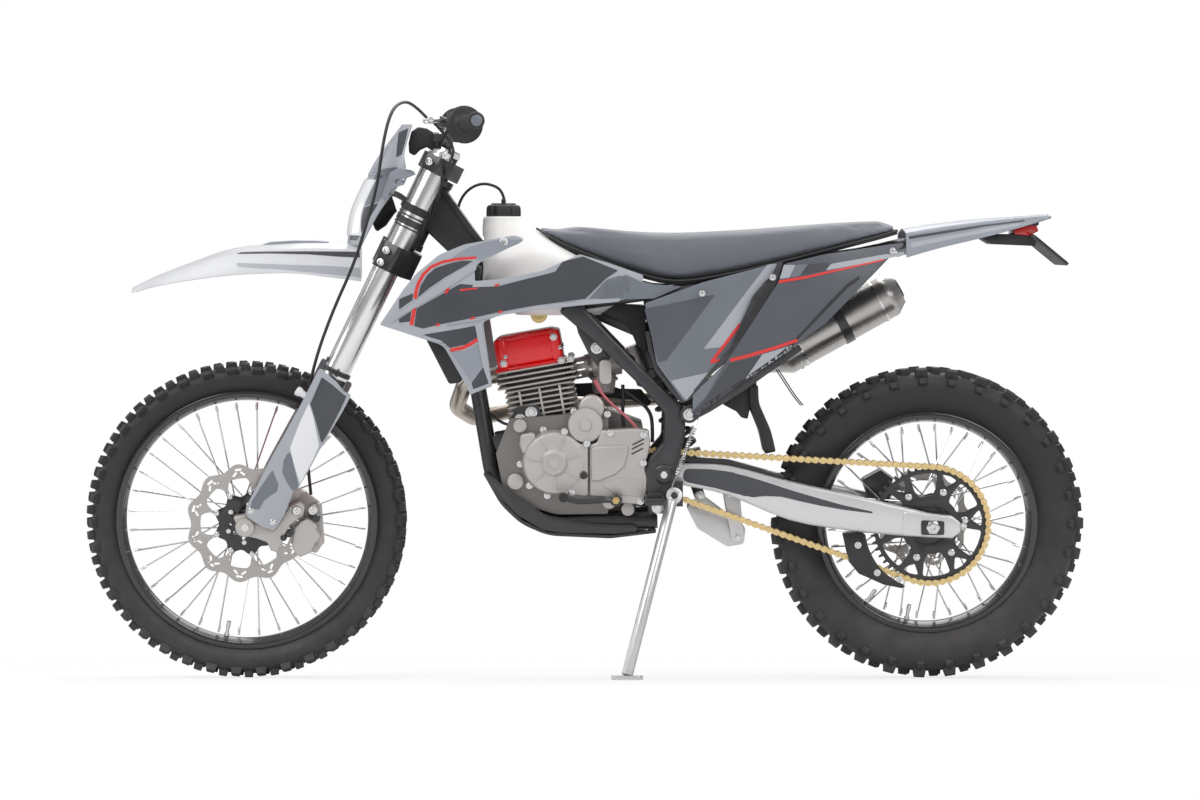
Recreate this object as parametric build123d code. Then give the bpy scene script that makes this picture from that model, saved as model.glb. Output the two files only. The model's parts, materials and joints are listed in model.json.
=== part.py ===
from build123d import *
from math import atan2, cos, pi, radians, sin, sqrt, tan
import os

# Dual sport motorcycle, parked on its side stand. Millimetres.
# Every piece is drawn on the upright, straight-ahead machine: x runs rearwards from the front axle,
# y to the rider's right and z up from the ground. place() then turns the steering to rest, leans
# the machine onto its stand and moves the origin to the ground below the middle of its outer box.

# Stance
wheelbase = 1487
head_angle = 26.0          # steering axis, from the vertical
fork_offset = 58           # front axle ahead of the steering axis, square to it
steer_rest = 5.0           # degrees to the left
lean = 8.0                 # degrees to the left

# Wheels: outer radius over the lugs, half width, radius of the tyre's section
front_radius = 350
front_half_width = 42
front_section = 42
rear_radius = 342
rear_half_width = 55
rear_section = 55
front_rim_bore = 264       # inner face of the rim
rear_rim_bore = 221
bead_depth = 8             # the bead's seat stands this far outside the rim's bore
axle_r = 8.5
rear_axle_r = 10
bearing_gap = 0.05         # radial, in each wheel bearing
axle_bore_r = 5            # both axles are hollow

# Fork
fork_spread = 103          # centre of the machine to each leg
tube_r = 26.5
slider_r = 21.5
leg_lead = 34              # axle ahead of the legs' centre line, square to it

# Transmission
chain_y = -72
chain_pitch = 15.875
rear_teeth = 50
front_teeth = 13
front_sprocket = (838, 474)
plate_half_height = 7.5
chain_half_width = 8
disc_y_front = -62
disc_y_rear = 74
disc_arms = 9

# Side stand
stand_pivot = (930, -148, 412)
stand_foot = (829, -290, 39)

clearance = 5

# The lean lowers both wheels onto the ground: each axle's height on the upright machine
lean_rad = radians(lean)
steer_rad = radians(steer_rest)
head_rad = radians(head_angle)
steer_dir = (sin(head_rad), 0, cos(head_rad))
rear_axle_z = rear_radius - rear_section + rear_section / cos(lean_rad)
wheel_tilt = sin(steer_rad) * sin(head_rad) * cos(lean_rad) + cos(steer_rad) * sin(lean_rad)
front_drop = front_radius - front_section
front_centre_z = front_drop * sqrt(1 - wheel_tilt**2) + front_section
front_axle_z = front_centre_z / cos(lean_rad) - fork_offset * sin(steer_rad) * tan(lean_rad)
steer_base = (fork_offset / cos(head_rad), 0, front_axle_z)


def side_plane(y):
    """Sketch plane across the machine at y: sketch x is x, sketch y is z."""
    return Plane(origin=(0, y, 0), x_dir=(1, 0, 0), z_dir=(0, -1, 0))


def cross_plane(x, z=0, tilt=0):
    """Sketch plane facing along the machine at x: sketch x is y, sketch y is up."""
    t = radians(tilt)
    return Plane(origin=(x, 0, z), x_dir=(0, 1, 0), z_dir=(cos(t), 0, sin(t)))


def slab(outline, y_from, y_to, corner=0):
    """Flat piece with an outline of (x, z) points, from y_from to y_to."""
    face = make_face(Polyline(*outline, close=True))
    if corner:
        face = fillet(face.vertices(), corner)
    low = min(y_from, y_to)
    high = max(y_from, y_to)
    return extrude(side_plane(high) * face, high - low, dir=(0, -1, 0))


def rod(start, end, radius, bore=0):
    """Round bar or tube between two points."""
    a = Vector(*start)
    run = Vector(*end) - a
    base = Plane(origin=a, z_dir=run)
    face = Circle(radius) - Circle(bore) if bore else Circle(radius)
    return extrude(base * face, run.length)


def lathe(start, end, profile):
    """Solid of revolution about the line from start to end; profile holds (distance, radius) points."""
    run = Vector(*end) - Vector(*start)
    face = make_face(Polyline(*profile, close=True))
    aside = run.cross(Vector(0, 1, 0))
    return Plane(origin=start, x_dir=run, z_dir=aside) * revolve(face, axis=Axis.X)


def pipe(points, radius, bends):
    """Tube of straight runs joined by tangent arcs."""
    path = FilletPolyline(*points, radius=bends)
    start = Plane(origin=path @ 0, z_dir=path % 0)
    return sweep(start * Circle(radius), path=path)


def across(x, z, y_from, y_to, radius, bore=0):
    """Round bar along y."""
    return rod((x, y_from, z), (x, y_to, z), radius, bore)


def both(shape):
    """The piece and its mirror image, left and right."""
    return [shape, mirror(shape, about=Plane.XZ)]


def joined(*shapes):
    """One solid from touching pieces."""
    whole = shapes[0]
    for shape in shapes[1:]:
        whole = whole + shape
    return whole


def apart(*shapes):
    """Several solids in one node."""
    solids = []
    for shape in shapes:
        solids += list(shape.solids())
    return Compound(solids)


def ring(profile, x, z):
    """Solid of revolution about a line along y; profile holds (y, radius) points."""
    face = Plane.XY * make_face(Polyline(*[(y, r) for y, r in profile], close=True))
    turned = revolve(face, axis=Axis.X)
    return Pos(x, 0, z) * Rot(0, 0, 90) * turned


def dished(outline, centre, outward, ball_r, skin, y_from, y_to):
    """Curved panel: the outline cut from a thin ball shell through centre."""
    n = Vector(*outward).normalized()
    middle = Vector(*centre) - n * ball_r
    shell = Pos(*middle) * (Sphere(ball_r) - Sphere(ball_r - skin))
    return shell & slab(outline, y_from, y_to)


def fork_point(s, t=0, y=0):
    """Point s up along the steering axis from the axle's level, t ahead of it."""
    return (
        steer_base[0] + s * sin(head_rad) - t * cos(head_rad),
        y,
        front_axle_z + s * cos(head_rad) + t * sin(head_rad),
    )


nodes = {}

# ---------------------------------------------------------------- wheels


def circle_points(radius, count):
    """Corners of a regular outline whose sides touch the circle."""
    reach = radius / cos(pi / count)
    turns = [2 * pi * k / count for k in range(count)]
    return [(reach * cos(a), reach * sin(a)) for a in turns]


def stacked(rows, count):
    """Many-sided ring lofted sideways through (y, radius) rows."""
    faces = []
    for y, radius in rows:
        faces.append(side_plane(y) * make_face(Polyline(*circle_points(radius, count), close=True)))
    return loft(faces, ruled=True)


def toothed_outline(count, root, tip, share, phase):
    """Closed outline with count teeth; share is the part of the pitch that a tooth fills."""
    points = []
    pitch = 2 * pi / count
    for k in range(count):
        middle = (k + phase) * pitch
        for off, radius in (
            (-share * 0.58, root),
            (-share * 0.46, tip),
            (share * 0.46, tip),
            (share * 0.58, root),
        ):
            angle = middle + off * pitch
            points.append((radius * cos(angle), radius * sin(angle)))
    return points


def tyre(bead_r, flange_half, lugs_round, half_rows, lug_rows, x, z):
    """Carcass of flat facets with rows of lugs; rows hold y and radius from the shoulder inwards."""
    right = [(-y, radius) for y, radius in reversed(half_rows)]
    body = stacked(half_rows + right, lugs_round)
    for y_from, y_to, root, tip, phase in lug_rows:
        outline = toothed_outline(lugs_round, root, tip, 0.58, phase)
        body += slab(outline, y_from, y_to)
    shoulder = -half_rows[0][0] + 1
    wall_r = half_rows[0][1] - 7
    for y_from, r_from, y_to, r_to in (
        (-shoulder, wall_r, -flange_half, bead_r + 13),
        (flange_half, bead_r + 13, shoulder, wall_r),
    ):
        body -= stacked([(y_from, r_from), (y_to, r_to)], lugs_round)
    body -= across(0, 0, -shoulder, shoulder, bead_r)
    return Pos(x, 0, z) * body


def rim(bore_r, flange_half, x, z):
    bead_r = bore_r + bead_depth
    half = [
        (-flange_half, bead_r),
        (-flange_half, bead_r + 11),
        (-flange_half - 3, bead_r + 11),
        (-flange_half - 3, bead_r),
        (-flange_half * 0.55, bore_r),
    ]
    right = [(-y, r) for y, r in reversed(half)]
    return ring(half + right, x, z)


def hub(bore_r, half_length, barrel_r, flange_y, flange_r, x, z):
    """Hub barrel with two spoke flanges."""
    body = across(x, z, -half_length, half_length, barrel_r * 0.7)
    body += across(x, z, -flange_y, flange_y, barrel_r)
    for side in (-1, 1):
        body += across(x, z, side * (flange_y - 5), side * flange_y, flange_r)
    return body - across(x, z, -half_length, half_length, bore_r)


def spokes(count, flange_r, flange_y, rim_r, x, z):
    """Crossed wire spokes; each leans along its flange, half one way and half the other."""
    wires = []
    lead = radians(40)
    for k in range(count):
        side = -1 if k % 2 else 1
        way = 1 if (k // 2) % 2 else -1
        outer_angle = 2 * pi * (k + 0.5) / count
        inner_angle = outer_angle + way * lead
        inset = 1.3 if way > 0 else 3.9
        start = (
            x + flange_r * cos(inner_angle),
            side * (flange_y + 2.5 - inset),
            z + flange_r * sin(inner_angle),
        )
        end = (x + rim_r * cos(outer_angle), side * 5, z + rim_r * sin(outer_angle))
        wires.append(rod(start, end, 1.9))
    return apart(*wires)


def round_point(radius, angle):
    return (radius * cos(angle), radius * sin(angle))


def brake_disc(radius, inner_r, band, y, x, z):
    """Wavy brake ring, its windows leaving arms from the band in to the carrier."""
    plate = across(0, 0, y - 2, y + 2, radius)
    for k in range(disc_arms):
        a = 2 * pi * k / disc_arms
        cx, cz = round_point(radius + 14, a)
        plate -= across(cx, cz, y - 3, y + 3, 18)
        half = pi / disc_arms - 0.1
        window = [
            round_point(inner_r + 10, a - half * 0.7),
            round_point(radius - band, a - half),
            round_point(radius - band + 2, a),
            round_point(radius - band, a + half),
            round_point(inner_r + 10, a + half * 0.7),
        ]
        plate -= slab(window, y - 3, y + 3)
    return Pos(x, 0, z) * (plate - across(0, 0, y - 3, y + 3, inner_r))


front_hub_half = 38
front_flange_y = 30
front_flange_r = 34
rear_hub_half = 62
rear_flange_y = 38
rear_flange_r = 52

front_flange = 22
rear_flange = 29
# rows of y and radius, from the shoulder in to the crown
front_carcass = [(-front_half_width, 308), (-36, 322), (-18, 335)]
rear_carcass = [(-rear_half_width, 286), (-46, 306), (-22, 323)]
front_lug_count = 28
rear_lug_count = 22
# y from, y to, radius at the root, radius at the tip, shift round the wheel in pitches;
# the middle row is low enough that the leaning tyre still stands on its round section
front_lugs = [(-15, 15, 322, 348.6, 0), (-38, -19, 310, 339.6, 0.5), (19, 38, 310, 339.6, 0.5)]
rear_lugs = [(-19, 19, 310, 342, 0), (-48, -23, 292, 335, 0.5), (23, 48, 292, 335, 0.5)]
nodes["front_tyre"] = tyre(
    front_rim_bore + bead_depth, front_flange, front_lug_count, front_carcass, front_lugs, 0, front_axle_z
)
nodes["front_rim"] = rim(front_rim_bore, front_flange, 0, front_axle_z)
nodes["front_hub"] = hub(
    axle_r + bearing_gap, front_hub_half, 24, front_flange_y, front_flange_r, 0, front_axle_z
) + across(0, front_axle_z, disc_y_front - 2, -front_flange_y, 46) - across(
    0, front_axle_z, disc_y_front - 2, -front_flange_y, axle_r + bearing_gap
)
nodes["rear_tyre"] = tyre(
    rear_rim_bore + bead_depth,
    rear_flange,
    rear_lug_count,
    rear_carcass,
    rear_lugs,
    wheelbase,
    rear_axle_z,
)
nodes["rear_rim"] = rim(rear_rim_bore, rear_flange, wheelbase, rear_axle_z)
nodes["front_spokes"] = spokes(36, front_flange_r - 4, front_flange_y, front_rim_bore, 0, front_axle_z)
nodes["rear_spokes"] = spokes(
    36, rear_flange_r - 4, rear_flange_y, rear_rim_bore, wheelbase, rear_axle_z
)
nodes["front_disc"] = brake_disc(130, 42, 34, disc_y_front, 0, front_axle_z) - across(
    0, front_axle_z, disc_y_front - 3, disc_y_front + 3, 46
)
nodes["rear_hub"] = hub(
    rear_axle_r + bearing_gap,
    rear_hub_half,
    32,
    rear_flange_y,
    rear_flange_r,
    wheelbase,
    rear_axle_z,
)
nodes["rear_disc"] = brake_disc(110, 40, 28, disc_y_rear, wheelbase, rear_axle_z)
rear_tip_r = rear_teeth * chain_pitch / (2 * pi) + 4
front_pitch_r = front_teeth * chain_pitch / (2 * pi)
rear_pitch_r = rear_teeth * chain_pitch / (2 * pi)
sprocket = across(0, 0, chain_y - 3, chain_y + 3, rear_tip_r)
sprocket_arms = 6
bolt_circle = 76
web_r = rear_pitch_r - 14
for k in range(sprocket_arms):
    bolt_angle = radians(8) + 2 * pi * k / sprocket_arms
    half_step = pi / sprocket_arms
    wide_window = [
        round_point(66, bolt_angle + 0.3),
        round_point(64, bolt_angle + half_step),
        round_point(66, bolt_angle + 2 * half_step - 0.3),
        round_point(web_r, bolt_angle + 2 * half_step - 0.25),
        round_point(web_r + 3, bolt_angle + half_step),
        round_point(web_r, bolt_angle + 0.25),
    ]
    narrow_window = [
        round_point(bolt_circle + 14, bolt_angle),
        round_point(web_r, bolt_angle + 0.15),
        round_point(web_r, bolt_angle - 0.15),
    ]
    for window in (wide_window, narrow_window):
        sprocket -= slab(window, chain_y - 4, chain_y + 4)
sprocket -= across(0, 0, chain_y - 4, chain_y + 4, 40)
nodes["rear_sprocket"] = Pos(wheelbase, 0, rear_axle_z) * sprocket
nodes["rear_hub"] += across(wheelbase, rear_axle_z, chain_y - 3, -rear_flange_y, 40)
nodes["rear_hub"] += across(wheelbase, rear_axle_z, rear_flange_y, disc_y_rear + 2, 40)
nodes["rear_hub"] -= across(wheelbase, rear_axle_z, -90, 90, rear_axle_r + bearing_gap)

# ---------------------------------------------------------------- chain


def chain_band(inner_add, outer_add):
    """Outline of the chain loop between two offsets from its pitch line."""
    dx = wheelbase - front_sprocket[0]
    dz = rear_axle_z - front_sprocket[1]
    span = sqrt(dx**2 + dz**2)
    slope = atan2(dz, dx)
    spread = atan2(rear_pitch_r - front_pitch_r, sqrt(span**2 - (rear_pitch_r - front_pitch_r) ** 2))

    def loop(extra):
        """The two circles and the tangent quadrilateral between them, offset by extra."""
        front = front_pitch_r + extra
        rear = rear_pitch_r + extra
        top = slope + pi / 2 + spread
        low = slope - pi / 2 - spread
        corners = [
            (front_sprocket[0] + front * cos(top), front_sprocket[1] + front * sin(top)),
            (wheelbase + rear * cos(top), rear_axle_z + rear * sin(top)),
            (wheelbase, rear_axle_z),
            (wheelbase + rear * cos(low), rear_axle_z + rear * sin(low)),
            (front_sprocket[0] + front * cos(low), front_sprocket[1] + front * sin(low)),
            front_sprocket,
        ]
        low_y = chain_y - chain_half_width
        high_y = chain_y + chain_half_width
        solid = slab(corners, low_y, high_y)
        solid += across(wheelbase, rear_axle_z, low_y, high_y, rear)
        return solid + across(front_sprocket[0], front_sprocket[1], low_y, high_y, front)

    return loop(outer_add) - loop(inner_add)


tooth_slot = across(wheelbase, rear_axle_z, chain_y - 4, chain_y + 4, rear_tip_r + 1.5)
nodes["chain"] = chain_band(-plate_half_height, plate_half_height) - tooth_slot

# ---------------------------------------------------------------- fork and steering

leg_t = fork_offset - leg_lead
tube_low = 330
tube_high = 868
lower_clamp = (600, 658)
upper_clamp = (832, 868)
stem_r = 14


def clamp_plate(s_low, s_high):
    """Triple clamp: a bridge across both fork tubes, split around them."""
    outline = [
        (-137, 20),
        (-118, 58),
        (-88, 58),
        (-40, 40),
        (40, 40),
        (88, 58),
        (118, 58),
        (137, 20),
        (118, -8),
        (40, -34),
        (-40, -34),
        (-118, -8),
    ]
    base = Plane(origin=fork_point(s_low), x_dir=(0, 1, 0), z_dir=steer_dir)
    face = fillet(make_face(Polyline(*outline, close=True)).vertices(), 12)
    plate = extrude(base * face, s_high - s_low)
    for side in (-1, 1):
        y = side * fork_spread
        plate -= rod(fork_point(s_low - 5, leg_t, y), fork_point(s_high + 5, leg_t, y), tube_r)
    return plate


nodes["triple_clamps"] = joined(
    clamp_plate(*lower_clamp),
    rod(fork_point(lower_clamp[0]), fork_point(upper_clamp[1] + 12), stem_r),
    clamp_plate(*upper_clamp),
)

bar_centre = (432, 1168)
bar_r = 11
bar_knee = (446, -160, 1200)
bar_end = (490, -400, 1217)
for side in (-1, 1):
    post_foot = fork_point(upper_clamp[1] - 3, 8, side * 48)
    nodes["triple_clamps"] += rod(post_foot, (bar_centre[0], side * 48, bar_centre[1]), 13)
    nodes["triple_clamps"] += across(
        bar_centre[0], bar_centre[1], side * 36, side * 60, 19
    )
nodes["triple_clamps"] -= across(bar_centre[0], bar_centre[1], -70, 70, bar_r)


def mirror_point(p):
    return (p[0], -p[1], p[2])


bar_bend = (bar_centre[0], -85, bar_centre[1])
bar_route = [bar_end, bar_knee, bar_bend, mirror_point(bar_bend), mirror_point(bar_knee)]
bar_route.append(mirror_point(bar_end))
nodes["handlebar"] = pipe(bar_route, bar_r, [60, 50, 50, 60])


def along_bar(distance):
    """Point on the left bar, distance in from its end."""
    run = Vector(*bar_knee) - Vector(*bar_end)
    return Vector(*bar_end) + run.normalized() * distance


bar_end_bore_r = 7
bar_end_depth = 60
for turn in (lambda s: s, lambda s: mirror(s, about=Plane.XZ)):
    nodes["handlebar"] -= turn(
        rod(tuple(along_bar(-1)), tuple(along_bar(bar_end_depth)), bar_end_bore_r)
    )
left_grip = rod(tuple(along_bar(0)), tuple(along_bar(120)), 16.5, bar_r)
left_grip += rod(tuple(along_bar(116)), tuple(along_bar(124)), 27, bar_r)
nodes["grips"] = apart(*both(left_grip))

perch_at = along_bar(172)
left_perch = rod(tuple(along_bar(127)), tuple(along_bar(160)), 31, bar_r)
left_perch += rod(tuple(along_bar(160)), tuple(along_bar(188)), 20, bar_r)
lever_pivot = (perch_at.X - 40, perch_at.Y - 10, perch_at.Z + 12)
left_perch += rod(tuple(perch_at - Vector(15, 0, -4)), lever_pivot, 10)
mirror_boss = (perch_at.X - 6, perch_at.Y, perch_at.Z + 34)
left_perch += rod((perch_at.X - 6, perch_at.Y, perch_at.Z + 12), mirror_boss, 9)
mirror_hole_r = 4.25
mirror_hole_depth = 14
left_perch -= rod(
    (mirror_boss[0], mirror_boss[1], mirror_boss[2] - mirror_hole_depth),
    (mirror_boss[0], mirror_boss[1], mirror_boss[2] + 1),
    mirror_hole_r,
)
left_lever = pipe(
    [
        lever_pivot,
        (lever_pivot[0] - 22, lever_pivot[1] - 30, lever_pivot[2]),
        (bar_end[0] - 92, bar_end[1] + 15, bar_end[2] + 2),
    ],
    5.5,
    [25],
)
nodes["controls"] = apart(*both(left_perch))
nodes["levers"] = apart(*both(left_lever))

left_tube = rod(
    fork_point(tube_low, leg_t, -fork_spread), fork_point(tube_high + 8, leg_t, -fork_spread), tube_r
)
nodes["fork_tubes"] = apart(*both(left_tube))

lug_outline = [(-27, 314), (58, 314), (70, 352), (64, 380), (-4, 385), (-28, 372)]
left_leg = rod(
    fork_point(-18, leg_t, -fork_spread), fork_point(tube_low, leg_t, -fork_spread), slider_r
)
left_leg += slab(lug_outline, -fork_spread - 18, -fork_spread + 18, 8)
axle_half = 130
legs = joined(
    left_leg,
    mirror(left_leg, about=Plane.XZ),
    across(0, front_axle_z, -axle_half, axle_half, axle_r),
    across(0, front_axle_z, -axle_half, -axle_half + 8, 14),
    across(0, front_axle_z, axle_half - 8, axle_half, 14),
    across(0, front_axle_z, -fork_spread + 5, disc_y_front - 6, 13),
    across(0, front_axle_z, 42, fork_spread - 5, 13),
)
nodes["fork_legs"] = legs - across(0, front_axle_z, -axle_half - 1, axle_half + 1, axle_bore_r)

guard_outline = [
    (144, 645),
    (170, 690),
    (218, 636),
    (218, 624),
    (179, 555),
    (89, 393),
    (69, 344),
    (9, 364),
    (3, 383),
]
guard_face_y = -fork_spread - tube_r - 9
left_guard = slab(guard_outline, guard_face_y, guard_face_y + 4)
left_guard += slab([(144, 645), (170, 690), (174, 687), (148, 643)], guard_face_y, -fork_spread + 18)
left_guard += slab([(3, 383), (144, 645), (148, 643), (7, 381)], guard_face_y, -fork_spread + 18)
nodes["fork_guards"] = apart(*both(left_guard))

caliper_outline = [(100, 398), (128, 420), (162, 392), (170, 300), (150, 274), (122, 284), (112, 340)]
caliper = slab(caliper_outline, disc_y_front - 32, disc_y_front + 18, 8)
nodes["front_caliper"] = caliper - across(
    0, front_axle_z, disc_y_front - 2 - clearance, disc_y_front + 2 + clearance, 130 + clearance
)
# its bracket reaches the leg
nodes["front_caliper"] += slab(
    [(62, 352), (70, 378), (108, 392), (112, 350)], disc_y_front - 32, disc_y_front - 12
)


def arch_face(x, half_top, top_z, half_low, low_z, skin):
    """Thin arched fender section across the machine at x."""
    shoulder = top_z - max(4, (top_z - low_z) * 0.18)
    inner_low = low_z
    outer = [
        Line((-half_low, low_z), (-half_top, shoulder)),
        ThreePointArc((-half_top, shoulder), (0, top_z), (half_top, shoulder)),
        Line((half_top, shoulder), (half_low, low_z)),
        Line((half_low, low_z), (half_low - skin, inner_low)),
        Line((half_low - skin, inner_low), (half_top - skin, shoulder - skin)),
        ThreePointArc(
            (half_top - skin, shoulder - skin), (0, top_z - skin), (-half_top + skin, shoulder - skin)
        ),
        Line((-half_top + skin, shoulder - skin), (-half_low + skin, inner_low)),
        Line((-half_low + skin, inner_low), (-half_low, low_z)),
    ]
    return cross_plane(x) * make_face(outer)


# x, half width at the shoulder, top, half width at the lower edge, lower edge
front_fender_sections = [
    (-240, 26, 848, 30, 838),
    (-190, 52, 875, 60, 856),
    (-110, 66, 909, 82, 874),
    (-20, 74, 941, 95, 889),
    (100, 76, 952, 98, 893),
    (252, 66, 952, 84, 874),
]
nodes["front_fender"] = loft([arch_face(*row, 3) for row in front_fender_sections])


def visor_face(z, front_x, rear_x, half_width, skin):
    """Thin bowed section of the headlight mask at height z, open to the rear."""
    inner_front = front_x + skin
    face = make_face(
        [
            ThreePointArc((rear_x, -half_width), (front_x, 0), (rear_x, half_width)),
            Line((rear_x, half_width), (rear_x, half_width - skin)),
            ThreePointArc(
                (rear_x, half_width - skin), (inner_front, 0), (rear_x, skin - half_width)
            ),
            Line((rear_x, skin - half_width), (rear_x, -half_width)),
        ]
    )
    return Plane(origin=(0, 0, z)) * face


# height, front, rear edge, half width
mask_sections = [
    (948, 221, 252, 60),
    (1023, 233, 292, 88),
    (1100, 269, 345, 98),
    (1150, 299, 345, 88),
    (1210, 345, 362, 60),
]
mask = loft([visor_face(z, f, r, w, 3) for z, f, r, w in mask_sections])
lens_blank = loft([visor_face(z, f - 3, r - 3, w, 9) for z, f, r, w in mask_sections])
window_outline = [(-46, 968), (-64, 1060), (-58, 1092), (58, 1092), (64, 1060), (46, 968)]
window = extrude(
    Plane(origin=(180, 0, 0), x_dir=(0, 1, 0), z_dir=(1, 0, 0))
    * make_face(Polyline(*window_outline, close=True)),
    160,
)
nodes["headlight_mask"] = mask - window
nodes["headlight_lens"] = lens_blank & window
# a cross stay joins the mask to the fork tubes
for side in (-1, 1):
    nodes["headlight_mask"] += pipe(
        [(312, side * 91, 1060), (336, side * 94, 1066), fork_point(770, leg_t + tube_r - 1, side * 94)],
        5,
        [8],
    )

hose_route = [
    (398, 222, 1226),
    (372, 150, 1252),
    (345, 60, 1262),
    (318, -40, 1240),
    (300, -104, 1170),
    (288, -118, 1080),
    (262, -122, 990),
    (236, -122, 910),
    (190, -118, 810),
    (150, -96, 700),
    (128, -70, 590),
    (132, -64, 490),
    (140, -72, 410),
]
nodes["brake_hose"] = pipe(hose_route, 3.5, 38)

# ---------------------------------------------------------------- frame

head_low = lower_clamp[1] + 4
head_high = upper_clamp[0] - 4
head_tube = rod(fork_point(head_low), fork_point(head_high), 27)
spar_outline = [
    (690, 810),
    (715, 838),
    (795, 752),
    (872, 672),
    (944, 607),
    (956, 560),
    (941, 490),
    (918, 372),
    (878, 372),
    (868, 465),
    (878, 490),
    (909, 525),
    (911, 590),
    (866, 642),
    (760, 745),
]
left_spar = slab(spar_outline, -130, -100, 9)
gusset = slab([(384, 985), (430, 1078), (516, 960), (700, 850), (700, 806), (500, 868)], -24, 24)
shock_ear = slab([(720, 804), (735, 842), (878, 778), (884, 752), (862, 744)], 19, 28)
pivot = (909, 457)
frame_main = joined(
    head_tube,
    gusset,
    slab([(692, 812), (692, 850), (742, 838), (742, 798)], -104, 104),
    shock_ear,
    mirror(shock_ear, about=Plane.XZ),
    left_spar,
    mirror(left_spar, about=Plane.XZ),
    across(pivot[0], pivot[1], -136, 136, 10),
    across(896, 386, -104, 104, 13),
)
frame_main -= rod(fork_point(head_low - 5), fork_point(head_high + 5), stem_r + bearing_gap)
nodes["frame"] = frame_main

cradle_route = [
    (448, -26, 930),
    (506, -52, 630),
    (536, -72, 455),
    (592, -84, 372),
    (680, -88, 349),
    (896, -98, 353),
]
left_rail = pipe(cradle_route, 15, [120, 90, 90, 90])
nodes["cradle"] = joined(
    left_rail,
    mirror(left_rail, about=Plane.XZ),
    across(532, 470, -74, 74, 11),
    across(780, 350, -92, 92, 11),
)
rail_route = [(720, -92, 818), (1000, -96, 858), (1385, -62, 940), (1450, -62, 956)]
stay_route = [(905, -104, 620), (960, -98, 640), (1290, -70, 905)]
left_subframe = joined(
    pipe(rail_route, 11, [300, 150]),
    pipe(stay_route, 9, [120]),
)
nodes["subframe"] = joined(
    left_subframe,
    mirror(left_subframe, about=Plane.XZ),
    across(1444, 955, -62, 62, 11),
    across(1130, 778, -90, 90, 8),
)

# ---------------------------------------------------------------- engine

case_front = [
    (562, 430),
    (548, 500),
    (578, 575),
    (790, 590),
    (790, 370),
    (680, 368),
    (610, 388),
]
case_rear = [(789, 370), (789, 588), (864, 560), (872, 500), (862, 400), (846, 372)]
nodes["crankcase"] = joined(
    slab(case_front, -104, 104, 6),
    slab(case_rear, -52, 104, 6),
)
generator = (674, 482)
cover = across(generator[0], generator[1], -104, -136, 66)
cover += across(generator[0], generator[1], -136, -143, 24)
cover += slab([(700, 545), (747, 552), (747, 414), (700, 422)], -104, -134)
starter = across(741, 563, -88, -132, 36) + across(754, 600, -88, -120, 28)
sprocket_cover = slab(
    [(748, 552), (876, 545), (876, 516), (862, 467), (856, 392), (748, 413)], -88, -130, 6
)
nodes["left_covers"] = apart(cover, sprocket_cover)
nodes["starter"] = starter
nodes["right_cover"] = slab(
    [
        (596, 420),
        (590, 520),
        (640, 572),
        (790, 570),
        (846, 500),
        (836, 410),
        (760, 392),
        (650, 392),
    ],
    104,
    142,
    12,
)

engine_tilt = 10
engine_foot = (665, 588)


def upright_box(length, width, low, high, shift=0):
    """Block on the cylinder's own axis: length along the machine, width across it."""
    return Pos(shift, 0, (low + high) / 2) * Box(length, width, high - low)


def on_engine(shape):
    return Pos(engine_foot[0], 0, engine_foot[1]) * Rot(0, -engine_tilt, 0) * shape


# low, high, length, width, count of fins
fin_stacks = [
    (-4, 62, 158, 150, 6),
    (74, 120, 178, 168, 4),
]
barrel = upright_box(110, 116, -14, 66)
head = upright_box(130, 132, 62, 132)
fins = [barrel, head]
for low, high, length, width, count in fin_stacks:
    step = (high - low) / (count - 1)
    for k in range(count):
        z = low + k * step
        fins.append(upright_box(length, width, z - 2.5, z + 2.5))
nodes["cylinder"] = on_engine(joined(*fins))
cover_block = fillet(upright_box(140, 122, 132, 182).edges(), 8)
nodes["valve_cover"] = on_engine(cover_block)

intake_z = 672
nodes["carburettor"] = joined(
    rod((690, 20, intake_z), (752, 30, 684), 24),
    rod((752, 30, 684), (815, 38, 694), 30),
    rod((782, 34, 700), (780, 34, 628), 24),
)
nodes["airbox"] = joined(
    slab([(950, 690), (925, 780), (925, 840), (1120, 858), (1080, 735), (1010, 665)], -66, 66, 10),
    rod((815, 38, 694), (970, 62, 712), 20),
)

header_route = [
    (572, 10, 668),
    (478, 10, 652),
    (454, 72, 590),
    (492, 132, 560),
    (580, 160, 578),
    (900, 164, 606),
    (1060, 150, 650),
    (1128, 148, 677),
]
nodes["exhaust_header"] = pipe(header_route, 18, [36, 36, 36, 60, 120, 120])
muffler_start = (1128, 148, 677)
muffler_end = (1438, 148, 850)
muffler_r = 52
# distance along the muffler, radius
muffler_profile = [(0, 0), (0, 20), (60, muffler_r), (325, muffler_r), (355, 36), (355, 0)]
nodes["muffler"] = lathe(muffler_start, muffler_end, muffler_profile)

# ---------------------------------------------------------------- tank, seat and body panels

# height, middle x, length, width, corner radius
tank_sections = [
    (797, 686, 210, 170, 40),
    (860, 690, 345, 240, 60),
    (925, 624, 216, 214, 60),
    (980, 578, 124, 124, 50),
    (1008, 562, 84, 84, 41.5),
]
tank_body = loft(
    [
        Plane(origin=(x, 0, z)) * RectangleRounded(length, width, corner)
        for z, x, length, width, corner in tank_sections
    ]
)
tunnel = slab([(500, 780), (500, 978), (520, 966), (668, 878), (745, 850), (745, 780)], -28, 28)
nodes["tank"] = tank_body - tunnel
cap = (562, 1008)
nodes["fuel_cap"] = rod((cap[0], 0, cap[1]), (cap[0], 0, cap[1] + 27), 37)


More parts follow.
